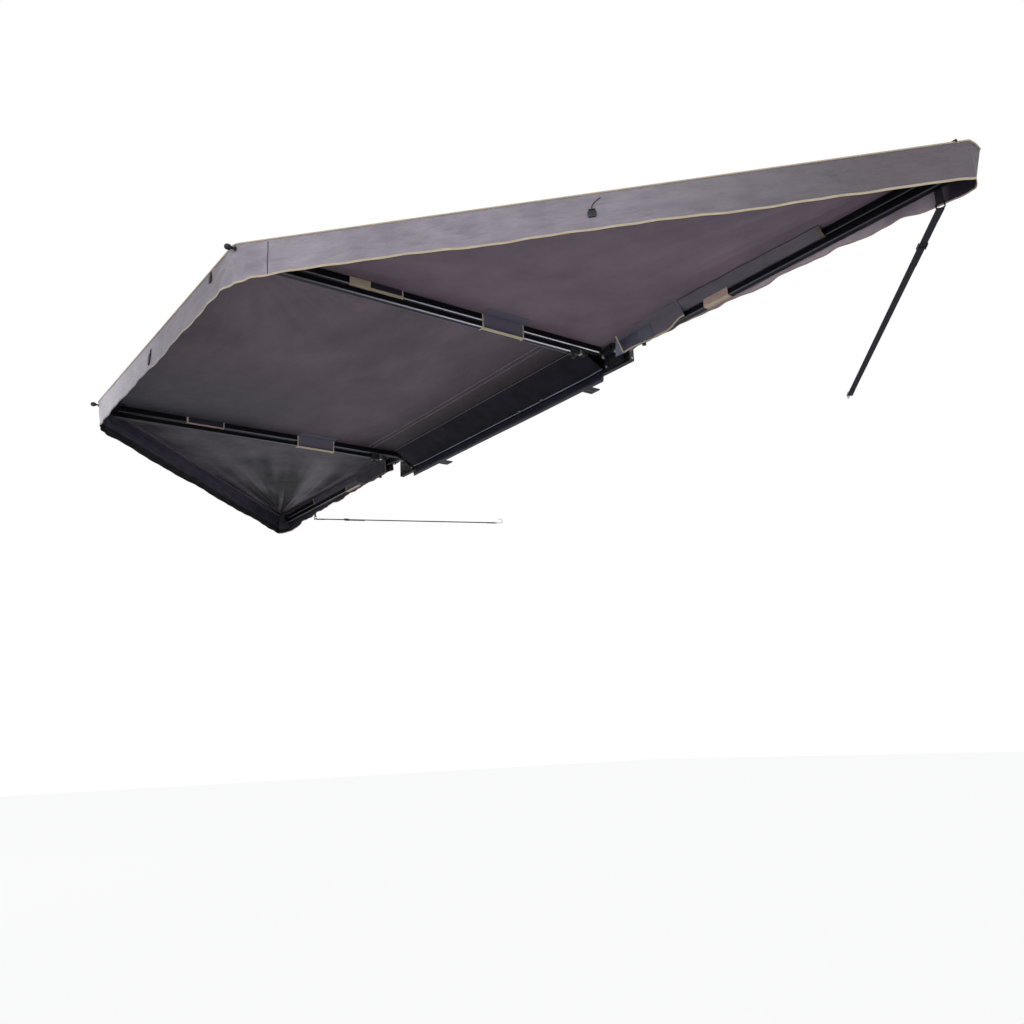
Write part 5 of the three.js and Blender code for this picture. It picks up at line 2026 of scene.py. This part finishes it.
# Stage: a pale floor, a pale surround and soft lamps
studio = {
    "floorHeight": -2.48,
    "floorSize": 60,
    "floorTone": (0.82, 0.82, 0.82, 1),
    "floorGlow": 0.9,
    "skyTone": (0.93, 0.95, 1.0, 1),
    "skyStrength": 0.6,
    "white": (1, 1, 1, 1),
}
lamps = {
    "key": {"place": (6.0, -7.0, -1.2), "aim": (0, -0.8, 0), "size": 4.0, "power": 330},
    "fill": {"place": (-6.0, -6.5, 0.5), "aim": (0, -0.8, 0), "size": 5.0, "power": 130},
}
# the outputs of a Light Path node that are used here
rayKinds = {"camera": 0, "glossy": 3, "transmission": 6}


def rayIs(start, kind):
    return start.node("ShaderNodeLightPath", None, None, rayKinds[kind])


def makeFloor():
    clearSelection()
    bpy.ops.mesh.primitive_plane_add(size=studio["floorSize"], location=(0, 0, studio["floorHeight"]))
    floor = bpy.context.object
    floor.name = "floor"
    settle(floor)
    material, start, shader = newFinish("floor")
    connect(start, shader, {"Base Color": studio["floorTone"], "Roughness": 0.9})
    glow = start.node("ShaderNodeEmission", None, {"Color": studio["white"], "Strength": 1.0})
    share = rayIs(start, "camera") * studio["floorGlow"]
    plain = Shade(start.tree, shader.outputs[0])
    mixed = start.node("ShaderNodeMixShader", None, {0: share, 1: plain, 2: glow})
    start.tree.links.new(mixed.socket, start.tree.nodes["Material Output"].inputs["Surface"])
    coat(floor, material)


def makeSurround():
    # white where it is seen, and softer where it lights
    world = bpy.data.worlds.new("surround")
    bpy.context.scene.world = world
    world.use_nodes = True
    tree = world.node_tree
    start = Shade(tree)
    sky = tree.nodes["Background"]
    sky.inputs["Color"].default_value = studio["skyTone"]
    sky.inputs["Strength"].default_value = studio["skyStrength"]
    seen = start.node("ShaderNodeBackground", None, {"Color": studio["white"], "Strength": 1.0})
    direct = rayIs(start, "camera").most(rayIs(start, "glossy")).most(rayIs(start, "transmission"))
    mixed = start.node("ShaderNodeMixShader", None, {0: direct, 1: Shade(tree, sky.outputs[0]), 2: seen})
    tree.links.new(mixed.socket, tree.nodes["World Output"].inputs["Surface"])


def makeLamp(name, lamp):
    place, aim = Vector(lamp["place"]), Vector(lamp["aim"])
    light = bpy.data.objects.new(name, bpy.data.lights.new(name, "AREA"))
    bpy.context.scene.collection.objects.link(light)
    light.data.size = lamp["size"]
    light.data.energy = lamp["power"]
    light.location = place
    light.rotation_euler = (aim - place).to_track_quat("-Z", "Y").to_euler()


makeFloor()
makeSurround()
for name, lamp in lamps.items():
    makeLamp(name, lamp)
bpy.context.scene.view_settings.view_transform = "Standard"
print("studio made")
